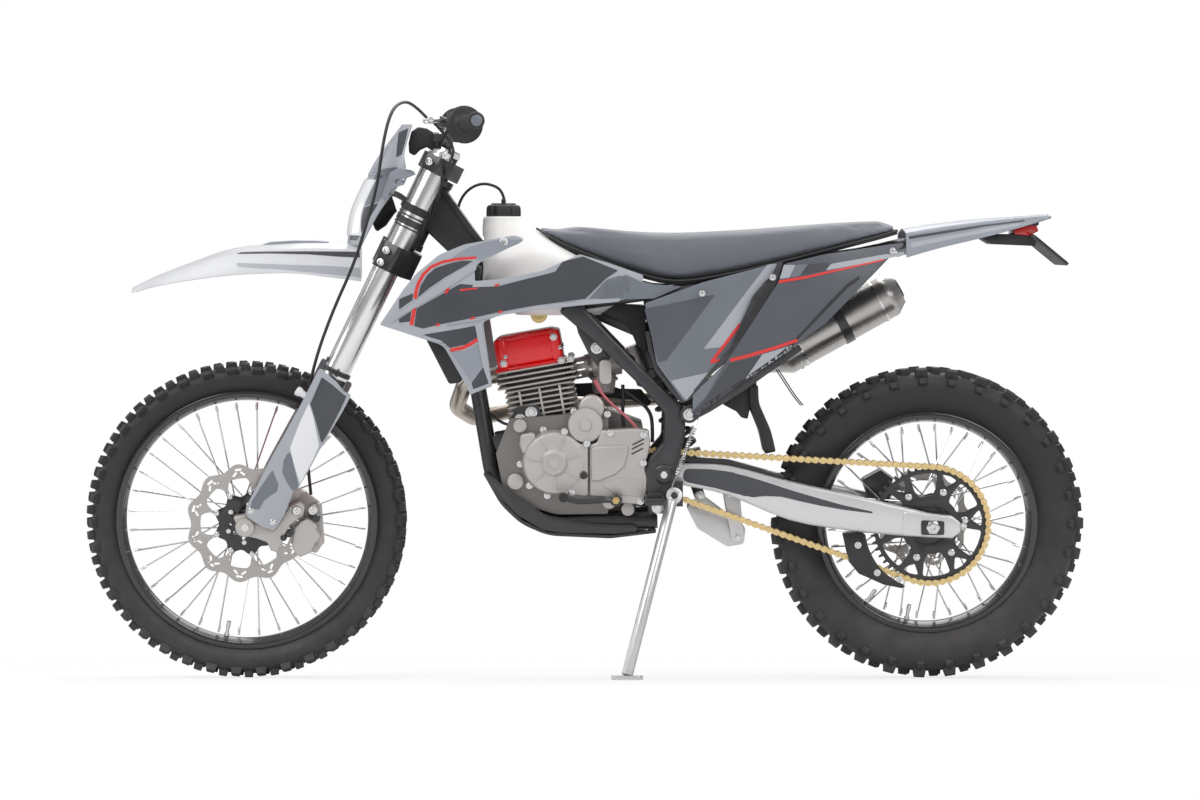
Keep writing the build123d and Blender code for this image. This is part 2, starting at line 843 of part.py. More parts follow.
def seat_face(x, half_width, top_z, low_z, crown):
    """Seat section at x: flat base, upright sides leaning in, crowned top."""
    shoulder = top_z - crown
    waist = half_width * 0.82
    return cross_plane(x) * make_face(
        [
            Line((-half_width, low_z), (half_width, low_z)),
            Line((half_width, low_z), (waist, shoulder)),
            ThreePointArc((waist, shoulder), (0, top_z), (-waist, shoulder)),
            Line((-waist, shoulder), (-half_width, low_z)),
        ]
    )


# x, half width, top, underside, crown
seat_sections = [
    (634, 34, 992, 985, 3),
    (745, 74, 984, 930, 10),
    (930, 108, 972, 872, 14),
    (1120, 116, 981, 904, 14),
    (1300, 108, 994, 950, 12),
    (1425, 84, 998, 984, 6),
]
nodes["seat"] = loft([seat_face(*row) for row in seat_sections])

shroud_outline = [
    (306, 780),
    (357, 856),
    (383, 888),
    (431, 928),
    (485, 950),
    (547, 961),
    (576, 966),
    (614, 959),
    (518, 910),
    (507, 900),
    (507, 872),
    (557, 872),
    (648, 892),
    (732, 926),
    (787, 910),
    (860, 882),
    (864, 819),
    (812, 830),
    (721, 829),
    (634, 819),
    (525, 786),
    (544, 647),
    (499, 633),
    (441, 736),
    (328, 773),
]
left_shroud = dished(shroud_outline, (590, -166, 860), (0.11, -1, 0.12), 3000, 5, -260, -90)
nodes["shrouds"] = apart(*both(left_shroud))
# the scoop's outer wall stands outside the fork's sweep, its duct behind it
scoop_outline = [(400, 846), (446, 905), (520, 905), (476, 655), (450, 652), (402, 746)]
duct_outline = [(448, 866), (466, 905), (520, 905), (488, 720), (440, 720)]
left_scoop = slab(scoop_outline, -152, -130, 4) + slab(duct_outline, -131, -84, 4)
nodes["scoops"] = apart(*both(left_scoop))

side_panel_outline = [
    (868, 824),
    (992, 869),
    (1149, 911),
    (1138, 866),
    (1074, 780),
    (1052, 725),
    (952, 614),
    (894, 693),
]
left_side_panel = dished(side_panel_outline, (1000, -142, 770), (0, -1, 0.08), 1300, 5, -220, -90)
nodes["side_panels"] = apart(*both(left_side_panel))
tail_panel_outline = [
    (1168, 909),
    (1397, 950),
    (1431, 953),
    (1397, 925),
    (1252, 780),
    (1079, 661),
    (982, 585),
    (965, 592),
    (1066, 737),
    (1150, 866),
]
left_tail_panel = dished(tail_panel_outline, (1210, -142, 830), (0.1, -1, 0.1), 1300, 5, -220, -60)
right_tail_panel = mirror(left_tail_panel, about=Plane.XZ) - rod(
    (1080, 147, 650), (1460, 152, 862), 58
)
nodes["tail_panels"] = apart(left_tail_panel, right_tail_panel.solids().sort_by(SortBy.VOLUME)[-1])

# x, half width at the shoulder, top, half width at the lower edge, lower edge
rear_fender_sections = [
    (1434, 83, 984, 97, 925),
    (1500, 81, 994, 93, 942),
    (1600, 74, 1004, 84, 966),
    (1738, 48, 1014, 54, 1006),
]
nodes["rear_fender"] = loft([arch_face(*row, 4) for row in rear_fender_sections])
nodes["tail_lamp"] = slab([(1668, 972), (1672, 996), (1714, 1000), (1722, 978), (1700, 968)], -42, 42, 3)
plate_dir = Vector(0.773, 0, -0.634).normalized()
plate_normal = Vector(0.634, 0, 0.773).normalized()
plate_middle = Vector(1741, 0, 938)
plate_skin = 6
plate_hole_y = 60
plate_hole_r = 3.2
plate_plane = Plane(origin=plate_middle, x_dir=plate_dir, z_dir=plate_normal)
plate = extrude(plate_plane * RectangleRounded(100, 176, 10), plate_skin / 2, both=True)
for side in (-1, 1):
    hole = plate_middle + Vector(0, side * plate_hole_y, 0)
    start = hole - plate_normal * plate_skin
    end = hole + plate_normal * plate_skin
    plate -= rod((start.X, start.Y, start.Z), (end.X, end.Y, end.Z), plate_hole_r)
nodes["plate_holder"] = joined(
    slab([(1600, 962), (1612, 972), (1704, 972), (1716, 962), (1716, 946), (1620, 950)], -36, 36),
    plate,
)

# ---------------------------------------------------------------- swingarm and rear suspension

# x, inner y, outer y, underside, top
arm_sections = [
    (886, 60, 92, 444, 478),
    (1050, 66, 94, 408, 474),
    (1180, 72, 108, 356, 440),
    (1310, 92, 118, 334, 412),
    (1516, 96, 120, 316, 364),
]


def arm_face(x, inner, outer, low, high):
    return cross_plane(x) * make_face(
        Polyline((-inner, low), (-outer, low), (-outer, high), (-inner, high), close=True)
    )


left_arm = loft([arm_face(*row) for row in arm_sections], ruled=True)
swingarm = joined(
    left_arm,
    mirror(left_arm, about=Plane.XZ),
    across(pivot[0], pivot[1], -96, 96, 17),
    slab([(1030, 414), (1030, 468), (1100, 452), (1100, 404)], -70, 70),
    across(wheelbase, rear_axle_z, -132, 132, rear_axle_r),
    across(wheelbase, rear_axle_z, -132, -118, 17),
    across(wheelbase, rear_axle_z, 118, 132, 17),
    across(wheelbase, rear_axle_z, -100, chain_y - 3 - clearance, 15),
    across(wheelbase, rear_axle_z, disc_y_rear + 2 + clearance, 100, 15),
)
swingarm -= across(wheelbase, rear_axle_z, -133, 133, axle_bore_r)
swingarm -= across(pivot[0], pivot[1], -137, 137, 10)
nodes["swingarm"] = swingarm

guide_outline = [
    (1298, 324),
    (1312, 262),
    (1332, 238),
    (1386, 214),
    (1426, 206),
    (1444, 218),
    (1426, 248),
    (1396, 300),
    (1330, 330),
]
guide = slab(guide_outline, chain_y - 16, chain_y + 14)
nodes["chain_guide"] = guide - slab(
    [(1200, 330), (1200, 280), (1500, 170), (1500, 230)], chain_y - 10, chain_y + 10
) - across(wheelbase, rear_axle_z, chain_y - 20, chain_y + 20, rear_tip_r + 12)

shock_top = (868, 0, 760)
shock_foot = (990, 0, 400)
nodes["shock"] = joined(
    rod(shock_top, shock_foot, 12),
    rod((874, 0, 740), (902, 0, 660), 19),
    rod((902, 0, 660), (962, 0, 482), 34),
    across(shock_top[0], shock_top[2], -18, 18, 15),
)
nodes["linkage"] = joined(
    slab([(960, 378), (1000, 398), (1090, 330), (1086, 296), (1050, 290), (985, 330)], -28, 28, 8),
    across(990, 400, -34, 34, 12),
    slab([(1040, 420), (1075, 420), (1086, 310), (1060, 300)], -44, -32),
    slab([(1040, 420), (1075, 420), (1086, 310), (1060, 300)], 32, 44),
)
caliper_rear = slab([(1352, 430), (1392, 452), (1420, 436), (1410, 380), (1372, 372)], 48, 96, 6)
nodes["rear_caliper"] = caliper_rear - across(
    wheelbase, rear_axle_z, disc_y_rear - 2 - clearance, disc_y_rear + 2 + clearance, 110 + clearance
)
nodes["mud_flap"] = slab([(1010, 640), (1060, 560), (1112, 520), (1116, 526), (1066, 568), (1018, 644)], -48, 48)

# ---------------------------------------------------------------- skid plate, pegs, pedals, stand

skid_bottom = [(524, 456), (561, 391), (604, 350), (660, 325), (795, 319), (893, 331)]
skid_plate = slab(
    skid_bottom + [(893, 335), (796, 323), (661, 329), (607, 354), (565, 394), (529, 459)], -112, 112
)
skid_side = slab(
    skid_bottom + [(890, 344), (787, 344), (712, 362), (669, 373), (609, 398), (535, 460)], -116, -112
)
skid_plate = joined(skid_plate, skid_side, mirror(skid_side, about=Plane.XZ))
nodes["skid_plate"] = skid_plate

peg = slab([(868, 398), (868, 412), (910, 412), (910, 398)], -208, -150)
peg += slab([(876, 396), (876, 420), (904, 420), (904, 396)], -152, -130)
nodes["footpegs"] = apart(*both(peg))
shift_lever = pipe([(806, -150, 404), (740, -156, 396), (694, -160, 412)], 6, [60])
shift_lever += across(694, 412, -186, -156, 8)
shift_lever += across(806, 404, -156, -128, 11)
brake_pedal = pipe([(870, 150, 372), (780, 158, 372), (690, 162, 400)], 6, [90])
brake_pedal += across(690, 400, 158, 192, 9)
brake_pedal += across(870, 372, 128, 156, 11)
nodes["foot_levers"] = apart(shift_lever, brake_pedal)

pivot_r = 7
stand_dir = Vector(0.062, -1, 0.25).normalized()


def on_pin(distance):
    """Point on the side stand's pin, distance outwards from its middle."""
    p = Vector(*stand_pivot) + stand_dir * distance
    return (p.X, p.Y, p.Z)


bracket = slab([(908, 442), (950, 442), (950, 388), (908, 388)], -130, -122)
bracket += rod(on_pin(-28), on_pin(-9), 15)
nodes["stand_bracket"] = bracket + rod(on_pin(-20), on_pin(14), pivot_r)
ankle = (stand_foot[0], stand_foot[1], stand_foot[2] + 10)
stand = rod((stand_pivot[0] - 5, stand_pivot[1] - 8, stand_pivot[2] - 12), ankle, 12)
stand += rod(on_pin(-8), on_pin(12), 17)
stand -= rod(on_pin(-10), on_pin(16), pivot_r + bearing_gap)
sole = Plane(origin=stand_foot, x_dir=(1, 0, 0), z_dir=(0, sin(lean_rad), cos(lean_rad)))
stand += extrude(sole * RectangleRounded(66, 44, 14), 9)
nodes["side_stand"] = stand

# ---------------------------------------------------------------- seats between pieces


def trimmed(shape, around):
    """The shape cut back from the pieces around it, its slivers dropped."""
    solids = []
    for solid in shape.solids():
        whole = solid
        for other in around:
            whole = whole - nodes[other]
        solids.append(whole.solids().sort_by(SortBy.VOLUME)[-1])
    return solids[0] if len(solids) == 1 else Compound(solids)


# the right-hand panels stand clear of the exhaust
exhaust_space = rod((1040, 150, 640), (1150, 148, 686), 30)
exhaust_space += rod((820, 163, 602), (1080, 150, 656), 24)
for name in ("side_panels", "tail_panels"):
    left, right = nodes[name].solids().sort_by(Axis.Y)
    right = (right - exhaust_space).solids().sort_by(SortBy.VOLUME)[-1]
    nodes[name] = Compound([left, right])

# piece, then the pieces that keep their shape where it meets them
seats = [
    ("cradle", ["frame"]),
    ("subframe", ["frame"]),
    ("crankcase", ["cradle", "frame"]),
    ("cylinder", ["crankcase"]),
    ("left_covers", ["crankcase"]),
    ("starter", ["crankcase", "left_covers"]),
    ("right_cover", ["crankcase", "cradle"]),
    ("carburettor", ["cylinder"]),
    ("airbox", ["carburettor", "shock", "subframe", "frame"]),
    ("exhaust_header", ["cylinder", "muffler"]),
    ("tank", ["frame", "subframe", "cradle"]),
    ("seat", ["subframe", "tank"]),
    ("linkage", ["shock", "swingarm"]),
    ("rear_caliper", ["swingarm"]),
    ("plate_holder", ["tail_lamp", "rear_fender"]),
    ("stand_bracket", ["frame"]),
    ("footpegs", ["frame"]),
    ("foot_levers", ["left_covers", "right_cover", "frame"]),
    ("levers", ["controls"]),
    ("fork_guards", ["fork_legs", "fork_tubes"]),
    ("headlight_mask", ["fork_tubes", "headlight_lens"]),
    ("front_caliper", ["fork_legs"]),
    ("brake_hose", ["front_caliper", "controls", "triple_clamps"]),
]
for name, around in seats:
    nodes[name] = trimmed(nodes[name], around)

# ---------------------------------------------------------------- resting place

steering = [
    "triple_clamps",
    "handlebar",
    "grips",
    "controls",
    "levers",
    "fork_tubes",
    "fork_legs",
    "fork_guards",
    "front_caliper",
    "front_fender",
    "headlight_mask",
    "headlight_lens",
    "brake_hose",
]
front_wheel = ["front_tyre", "front_rim", "front_spokes", "front_hub", "front_disc"]
steer_axis = Axis(steer_base, steer_dir)
ground_axis = Axis((0, 0, 0), (1, 0, 0))


def turned(shape, steers):
    if steers:
        shape = shape.rotate(steer_axis, steer_rest)
    return shape.rotate(ground_axis, lean)


os.makedirs("parts", exist_ok=True)
placed = {}
for name, shape in nodes.items():
    placed[name] = turned(shape, name in steering or name in front_wheel)
boxes = [shape.bounding_box() for shape in placed.values()]
low_x = min(box.min.X for box in boxes)
high_x = max(box.max.X for box in boxes)
low_y = min(box.min.Y for box in boxes)
high_y = max(box.max.Y for box in boxes)
low_z = min(box.min.Z for box in boxes)
high_z = max(box.max.Z for box in boxes)
shift = Pos(-(low_x + high_x) / 2, -(low_y + high_y) / 2, -low_z)
for name, shape in placed.items():
    export_step(shift * shape, f"parts/{name}.step")
print("size", high_x - low_x, high_y - low_y, high_z - low_z, "shift", shift.position)
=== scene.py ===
import bmesh
import bpy
import json
import numpy as np
from math import atan2, cos, pi, radians, sin, sqrt, tan
from mathutils import Matrix, Vector
from mathutils.bvhtree import BVHTree
from mathutils.geometry import delaunay_2d_cdt

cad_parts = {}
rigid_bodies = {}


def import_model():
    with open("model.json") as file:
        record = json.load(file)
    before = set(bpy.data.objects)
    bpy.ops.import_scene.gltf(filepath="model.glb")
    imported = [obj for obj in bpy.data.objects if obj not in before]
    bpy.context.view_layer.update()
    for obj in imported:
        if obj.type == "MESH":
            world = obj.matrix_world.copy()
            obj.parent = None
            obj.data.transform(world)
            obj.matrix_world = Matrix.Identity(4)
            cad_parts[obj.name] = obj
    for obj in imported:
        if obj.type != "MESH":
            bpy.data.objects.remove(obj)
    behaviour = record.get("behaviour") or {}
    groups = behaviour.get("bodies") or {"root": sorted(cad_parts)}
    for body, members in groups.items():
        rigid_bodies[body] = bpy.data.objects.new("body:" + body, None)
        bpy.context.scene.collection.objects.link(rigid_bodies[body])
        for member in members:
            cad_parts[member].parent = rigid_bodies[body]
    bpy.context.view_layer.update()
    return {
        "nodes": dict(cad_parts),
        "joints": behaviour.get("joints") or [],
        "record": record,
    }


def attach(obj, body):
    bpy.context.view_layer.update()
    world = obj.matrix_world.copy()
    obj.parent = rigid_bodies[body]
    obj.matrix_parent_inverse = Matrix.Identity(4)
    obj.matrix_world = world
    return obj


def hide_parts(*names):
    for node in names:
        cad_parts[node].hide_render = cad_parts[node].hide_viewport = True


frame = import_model()
cadNodes = frame["nodes"]
joints = {joint["name"]: joint for joint in frame["joints"]}
print("frame loaded:", len(cadNodes), "nodes")

# spaces
# Pieces are drawn in millimetres on the upright, straight-ahead machine: x runs rearwards from
# the front axle, y to the rider's right, z up. A body's space puts them where the frame stands.

stance = {
    "wheelbase": 1487.0, "rearAxleHeight": 342.54,
}

rearHub = Vector(joints["rear_wheel_spin"]["pos_m"])
rearAxis = Vector(joints["rear_wheel_spin"]["axis"])
lean = atan2(-rearAxis.z, -rearAxis.y)
rearCentre = Vector((stance["wheelbase"], 0, stance["rearAxleHeight"]))
upright = Matrix.Rotation(lean, 4, "X") @ Matrix.Scale(0.001, 4)
chassisSpace = Matrix.Translation(rearHub) @ upright @ Matrix.Translation(-rearCentre)

steering = joints["steering_turn"]
steerBase = chassisSpace.inverted() @ Vector(steering["pos_m"])
steerDir = (chassisSpace.inverted().to_3x3() @ Vector(steering["axis"])).normalized()
steerRest = -radians(sum(steering["range_deg"]) / 2)  # the stops lie evenly each side of straight ahead
steeringSpace = (chassisSpace @ Matrix.Translation(steerBase) @ Matrix.Rotation(steerRest, 4, steerDir)
    @ Matrix.Translation(-steerBase))
frontCentre = steeringSpace.inverted() @ Vector(joints["front_wheel_spin"]["pos_m"])
frontAxleHeight = frontCentre.z
print("front axle at", [round(v, 2) for v in frontCentre], "steering", [round(v, 3) for v in steerDir])

spaces = {
    "chassis": chassisSpace, "side_stand": chassisSpace, "steering": steeringSpace,
    "front_wheel": steeringSpace @ Matrix.Translation(frontCentre),
    "rear_wheel": chassisSpace @ Matrix.Translation(rearCentre),
}


def forkPoint(along, ahead=0.0, y=0.0):
    # along the steering axis from the front axle's level, ahead of it square to it
    foot = steerBase + steerDir * ((frontAxleHeight - steerBase.z) / steerDir.z)
    forward = Vector((-steerDir.z, 0, steerDir.x))
    return foot + steerDir * along + forward * ahead + Vector((0, y, 0))


# scene helpers


def inScene(name, data):
    # a new object, shown in the scene
    obj = bpy.data.objects.new(name, data)
    bpy.context.scene.collection.objects.link(obj)
    return obj


def solved(holder):
    # an object's mesh as it stands after its modifiers
    return bpy.data.meshes.new_from_object(holder.evaluated_get(bpy.context.evaluated_depsgraph_get()))


def meshFrom(points, faces, name="shape"):
    mesh = bpy.data.meshes.new(name)
    mesh.from_pydata([tuple(p) for p in points], [], [tuple(f) for f in faces])
    mesh.update()
    return mesh


def feed(tree, node, inputs):
    # each input is given a value or linked to another node's socket
    for label, value in inputs.items():
        if isinstance(value, bpy.types.NodeSocket):
            tree.links.new(value, node.inputs[label])
        else:
            node.inputs[label].default_value = value
    return node


def wired(tree, kind, inputs=None, **settings):
    node = tree.nodes.new(kind)
    for key, value in settings.items():
        setattr(node, key, value)
    return feed(tree, node, inputs or {})


def maths(tree, operation, first, second, clamp=False):
    return wired(tree, "ShaderNodeMath", {0: first, 1: second}, operation=operation,
        use_clamp=clamp).outputs[0]


def newGroup(kind, name, inputs, outputs):
    # group of nodes with its sockets: (label, sort, value) in, (label, sort) out
    group = bpy.data.node_groups.new(name, kind)
    for way, rows in (("INPUT", inputs), ("OUTPUT", outputs)):
        for label, sort, *value in rows:
            socket = group.interface.new_socket(label, in_out=way, socket_type="NodeSocket" + sort)
            if value:
                socket.default_value = value[0]
    return group, group.nodes.new("NodeGroupInput").outputs, group.nodes.new("NodeGroupOutput")


# camera, floor and light

viewpoint = {
    "place": (0.032, -5.919, 0.12), "pitch": 4.62, "lens": 82.58,
}

# lamps are place, size, watts
studio = {
    "floorSize": 40.0, "floorColour": (0.86, 0.86, 0.87, 1), "fade": (1.3, 3.5), "nearGlow": 0.7,
    "skyColour": (0.8, 0.8, 0.82, 1), "skyStrength": 0.42, "aim": (0, 0, 0.55),
    "lamps": [
        ((-2.6, -3.4, 3.6), 3.0, 118), ((2.8, -3.0, 2.6), 2.6, 62), ((0.4, 2.6, 3.6), 3.2, 80),
        ((0.0, -0.2, 4.4), 2.4, 58), ((-4.2, 0.6, 1.4), 2.0, 36),
    ],
}


def makeCamera():
    data = bpy.data.cameras.new("photoCamera")
    data.sensor_width = 36
    data.lens = viewpoint["lens"]
    data.clip_end = 100
    camera = inScene("photoCamera", data)
    camera.location = viewpoint["place"]
    camera.rotation_euler = (radians(90 + viewpoint["pitch"]), 0, 0)
    bpy.context.scene.camera = camera


def makeStudio():
    half = studio["floorSize"] / 2
    mesh = meshFrom([(-half, -half, 0), (half, -half, 0), (half, half, 0), (-half, half, 0)],
        [(0, 1, 2, 3)], "studioFloor")
    paint = bpy.data.materials.new("floorPaint")
    paint.use_nodes = True
    tree = paint.node_tree
    tree.nodes.clear()
    # the floor fades to plain white away from the machine
    where = wired(tree, "ShaderNodeTexCoord").outputs["Object"]
    far = wired(tree, "ShaderNodeVectorMath", {0: where}, operation="LENGTH").outputs["Value"]
    fade = wired(tree, "ShaderNodeMapRange", {"Value": far, "From Min": studio["fade"][0],
        "From Max": studio["fade"][1], "To Min": studio["nearGlow"], "To Max": 1.0})
    seen = wired(tree, "ShaderNodeLightPath").outputs["Is Camera Ray"]
    matt = wired(tree, "ShaderNodeBsdfDiffuse", {"Color": studio["floorColour"]})
    glow = wired(tree, "ShaderNodeEmission", {"Color": (1, 1, 1, 1), "Strength": 1.0})
    mix = wired(tree, "ShaderNodeMixShader", {0: maths(tree, "MULTIPLY", seen, fade.outputs["Result"]),
        1: matt.outputs[0], 2: glow.outputs[0]})
    wired(tree, "ShaderNodeOutputMaterial", {"Surface": mix.outputs[0]})
    mesh.materials.append(paint)
    inScene("studioFloor", mesh)

    for number, (place, size, watts) in enumerate(studio["lamps"]):
        light = bpy.data.lights.new("softbox%d" % number, "AREA")
        light.size = size
        light.energy = watts
        lamp = inScene("softbox%d" % number, light)
        lamp.location = place
        lamp.rotation_euler = (Vector(studio["aim"]) - Vector(place)).to_track_quat("-Z", "Y").to_euler()

    world = bpy.data.worlds.new("studioSky")
    bpy.context.scene.world = world
    world.use_nodes = True
    tree = world.node_tree
    tree.nodes.clear()
    plain = wired(tree, "ShaderNodeBackground", {"Color": studio["skyColour"],
        "Strength": studio["skyStrength"]})
    white = wired(tree, "ShaderNodeBackground", {"Color": (1, 1, 1, 1)})
    seen = wired(tree, "ShaderNodeLightPath").outputs["Is Camera Ray"]
    mix = wired(tree, "ShaderNodeMixShader", {0: seen, 1: plain.outputs[0], 2: white.outputs[0]})
    wired(tree, "ShaderNodeOutputWorld", {"Surface": mix.outputs[0]})
    bpy.context.scene.view_settings.view_transform = "Standard"


makeCamera()
makeStudio()
print("camera and studio ready")

# mesh tools


def reworked(mesh, change):
    # the mesh after change(work) has edited it
    work = bmesh.new()
    work.from_mesh(mesh)
    change(work)
    work.to_mesh(mesh)
    work.free()
    return mesh


def cleaned(mesh, gap=0.001):
    # one closed skin with its faces outward
    def change(work):
        bmesh.ops.remove_doubles(work, verts=work.verts, dist=gap)
        bmesh.ops.recalc_face_normals(work, faces=work.faces)
    return reworked(mesh, change)


def merged(*meshes):
    work = bmesh.new()
    for mesh in meshes:
        work.from_mesh(mesh)
    whole = bpy.data.meshes.new("merged")
    work.to_mesh(whole)
    work.free()
    return whole


def moved(mesh, matrix):
    copy = mesh.copy()
    copy.transform(matrix)
    if matrix.determinant() < 0:
        copy.flip_normals()
    return copy


mirrorRight = Matrix.Diagonal((1, -1, 1, 1))


def cutAway(mesh, cutter, operation="DIFFERENCE"):
    holder = inScene("cutter", cutter)
    result = shaped(mesh, ("BOOLEAN", {"object": holder, "operation": operation, "solver": "EXACT"}))
    bpy.data.objects.remove(holder)
    return result


def withMirror(mesh, cut=None):
    # left and right; cut is taken out of the right one
    right = moved(mesh, mirrorRight)
    return merged(mesh, cutAway(right, cut) if cut else right)


def ringMesh(profile, segments=96):
    # profile of (y, radius) points, closed, turned about the y axis
    points, faces = [], []
    rows = len(profile)
    for step in range(segments):
        angle = 2 * pi * step / segments
        points += [(r * cos(angle), y, r * sin(angle)) for y, r in profile]
        here, ahead = step * rows, (step + 1) % segments * rows
        for row in range(rows):
            nextRow = (row + 1) % rows
            faces.append((here + row, here + nextRow, ahead + nextRow, ahead + row))
    return cleaned(meshFrom(points, faces))


def lineFrame(start, end):
    # matrix whose z runs from start to end
    direction = Vector(end) - Vector(start)
    turn = direction.to_track_quat("Z", "Y").to_matrix().to_4x4()
    return Matrix.Translation(Vector(start)) @ turn


def latheMesh(start, end, profile, sides=32):
    # profile of (distance, radius) points from end to end, turned about the line
    points, faces = [], []
    for distance, radius in profile:
        for step in range(sides):
            angle = 2 * pi * step / sides
            points.append((radius * cos(angle), radius * sin(angle), distance))
    for row in range(len(profile) - 1):
        for step in range(sides):
            ahead = (step + 1) % sides
            low, high = row * sides, (row + 1) * sides
            faces.append((low + step, low + ahead, high + ahead, high + step))
    faces.append(tuple(reversed(range(sides))))
    faces.append(tuple(range((len(profile) - 1) * sides, len(profile) * sides)))
    mesh = meshFrom(points, faces)
    mesh.transform(lineFrame(start, end))
    return cleaned(mesh)


def barMesh(start, end, radius, edge=0.6, sides=24):
    length = (Vector(end) - Vector(start)).length
    profile = [(0, radius - edge), (edge, radius), (length - edge, radius), (length, radius - edge)]
    return latheMesh(start, end, profile, sides)


def smoothCurve(name, route, detail):
    # a smooth line through the route's points, as an object
    data = bpy.data.curves.new(name, "CURVE")
    data.dimensions = "3D"
    data.resolution_u = detail
    line = data.splines.new("NURBS")
    line.points.add(len(route) - 1)
    for point, place in zip(line.points, route):
        point.co = (*place, 1)
    line.order_u = 3
    line.use_endpoint_u = True
    return inScene(name, data)


def tubeMesh(route, radius, sides=12, detail=8):
    # one smooth line through the route's points, given a round section and closed ends
    holder = smoothCurve("tube", route, detail)
    holder.data.bevel_depth = radius
    holder.data.bevel_resolution = max(0, sides // 4 - 1)
    holder.data.use_fill_caps = True
    mesh = solved(holder)
    bpy.data.objects.remove(holder)
    return cleaned(mesh, radius * 0.01)


def roundedOutline(points, radius, steps=4):
    # corners of a closed outline made round; a third value is that corner's own radius
    made = []
    count = len(points)
    for k in range(count):
        corner = Vector(points[k][:2])
        back = Vector(points[k - 1][:2]) - corner
        onward = Vector(points[(k + 1) % count][:2]) - corner
        size = points[k][2] if len(points[k]) > 2 else radius
        angle = back.angle(onward)
        reach = min(size / tan(angle / 2), 0.49 * back.length, 0.49 * onward.length)
        if reach < 0.3:
            made.append(corner)
            continue
        first = corner + back.normalized() * reach
        last = corner + onward.normalized() * reach
        for step in range(steps + 1):
            t = step / steps
            made.append((1 - t) ** 2 * first + 2 * t * (1 - t) * corner + t * t * last)
    return made


def polar(radius, angle):
    return Vector((radius * cos(angle), radius * sin(angle)))


def circleOutline(x, z, radius, steps=24):
    return [Vector((x, z)) + polar(radius, 2 * pi * k / steps) for k in range(steps)]


def spaced(loop, gap):
    # extra points on the long edges of a closed outline
    made = []
    for k, point in enumerate(loop):
        ahead = loop[(k + 1) % len(loop)]
        parts = max(1, round((ahead - point).length / gap))
        made += [point.lerp(ahead, n / parts) for n in range(parts)]
    return made


def insideLoops(places, loops):
    # even-odd test of many points against all the loops
    inside = np.zeros(len(places), bool)
    for loop in loops:
        for k, a in enumerate(loop):
            b = loop[(k + 1) % len(loop)]
            crosses = (a.y > places[:, 1]) != (b.y > places[:, 1])
            if a.y != b.y:
                at = a.x + (places[:, 1] - a.y) * (b.x - a.x) / (b.y - a.y)
                inside ^= crosses & (places[:, 0] < at)
    return inside


def filledLoops(loops, gap=0.0):
    # triangles inside the outlines, on a regular field of points where gap is given
    points, edges = [], []
    for loop in loops:
        first = len(points)
        points += [Vector(p) for p in loop]
        edges += [(first + k, first + (k + 1) % len(loop)) for k in range(len(loop))]
    if gap:
        border = np.array([tuple(p) for p in points])
        low, high = border.min(0), border.max(0)
        field = []
        rows = int((high[1] - low[1]) / (gap * 0.866)) + 1
        for row in range(rows):
            z = low[1] + row * gap * 0.866
            start = low[0] + (row % 2) * gap / 2
            field += [(x, z) for x in np.arange(start, high[0], gap)]
        field = np.array(field)
        field = field[insideLoops(field, loops)]
        if len(field):
            near = np.sqrt(((field[:, None, :] - border[None, :, :]) ** 2).sum(2).min(1))
            points += [Vector(p) for p in field[near > gap * 0.5]]
    result = delaunay_2d_cdt(points, edges, [], 0, 1e-5)
    corners, faces = result[0], [f for f in result[2] if len(f) == 3]
    centres = np.array([sum((corners[i] for i in f), Vector((0, 0))) / 3 for f in faces])
    keep = insideLoops(centres, loops)
    return corners, [f for f, k in zip(faces, keep) if k]


def dropLoose(work):
    bmesh.ops.delete(work, geom=[v for v in work.verts if not v.link_faces], context="VERTS")


def skinMesh(loops, surface, gap=8.0):
    # open curved skin: the outlines filled and laid on y = surface(x, z), facing left
    corners, faces = filledLoops([spaced(loop, gap) for loop in loops], gap)

    def change(work):
        dropLoose(work)
        if sum(f.normal.y for f in work.faces) > 0:
            bmesh.ops.reverse_faces(work, faces=work.faces)
    return reworked(meshFrom([(p.x, surface(p.x, p.y), p.y) for p in corners], faces), change)


def plateMesh(loops, yLow, yHigh):
    # flat plate across y with the outlines' shape and holes
    corners, faces = filledLoops(loops)
    count = len(corners)
    points = [(p.x, y, p.y) for y in (yLow, yHigh) for p in corners]
    whole = [tuple(f) for f in faces] + [tuple(count + i for i in reversed(f)) for f in faces]
    used = {(f[k], f[(k + 1) % 3]): True for f in faces for k in range(3)}
    whole += [(b, a, count + a, count + b) for a, b in used if (b, a) not in used]

    def change(work):
        dropLoose(work)
        bmesh.ops.recalc_face_normals(work, faces=work.faces)
        flat = [e for e in work.edges if len(e.link_faces) == 2 and e.calc_face_angle(0) < 0.01]
        bmesh.ops.dissolve_edges(work, edges=flat, use_verts=False)
    return reworked(meshFrom(points, whole), change)


def loftMesh(rings, closeEnds=True, loop=True):
    # skin over rows of points of one count
    size = len(rings[0])
    points = [p for ring in rings for p in ring]
    faces = []
    for row in range(len(rings) - 1):
        for k in range(size if loop else size - 1):
            ahead = (k + 1) % size
            low, high = row * size, (row + 1) * size
            faces.append((low + k, low + ahead, high + ahead, high + k))
    if closeEnds and loop:
        faces.append(tuple(reversed(range(size))))
        faces.append(tuple(range((len(rings) - 1) * size, len(rings) * size)))
    return cleaned(meshFrom(points, faces))


def blockFrom(work, edge):
    # a small solid with its edges rounded
    if edge:
        bmesh.ops.bevel(work, geom=work.edges[:], offset=edge, segments=2, affect="EDGES", profile=0.6)
    mesh = bpy.data.meshes.new("block")
    work.to_mesh(mesh)
    work.free()
    return mesh


def boxMesh(low, high, edge=0.0):
    work = bmesh.new()
    bmesh.ops.create_cube(work, size=1)
    for v in work.verts:
        v.co = Vector([low[k] + (v.co[k] + 0.5) * (high[k] - low[k]) for k in range(3)])
    return blockFrom(work, edge)


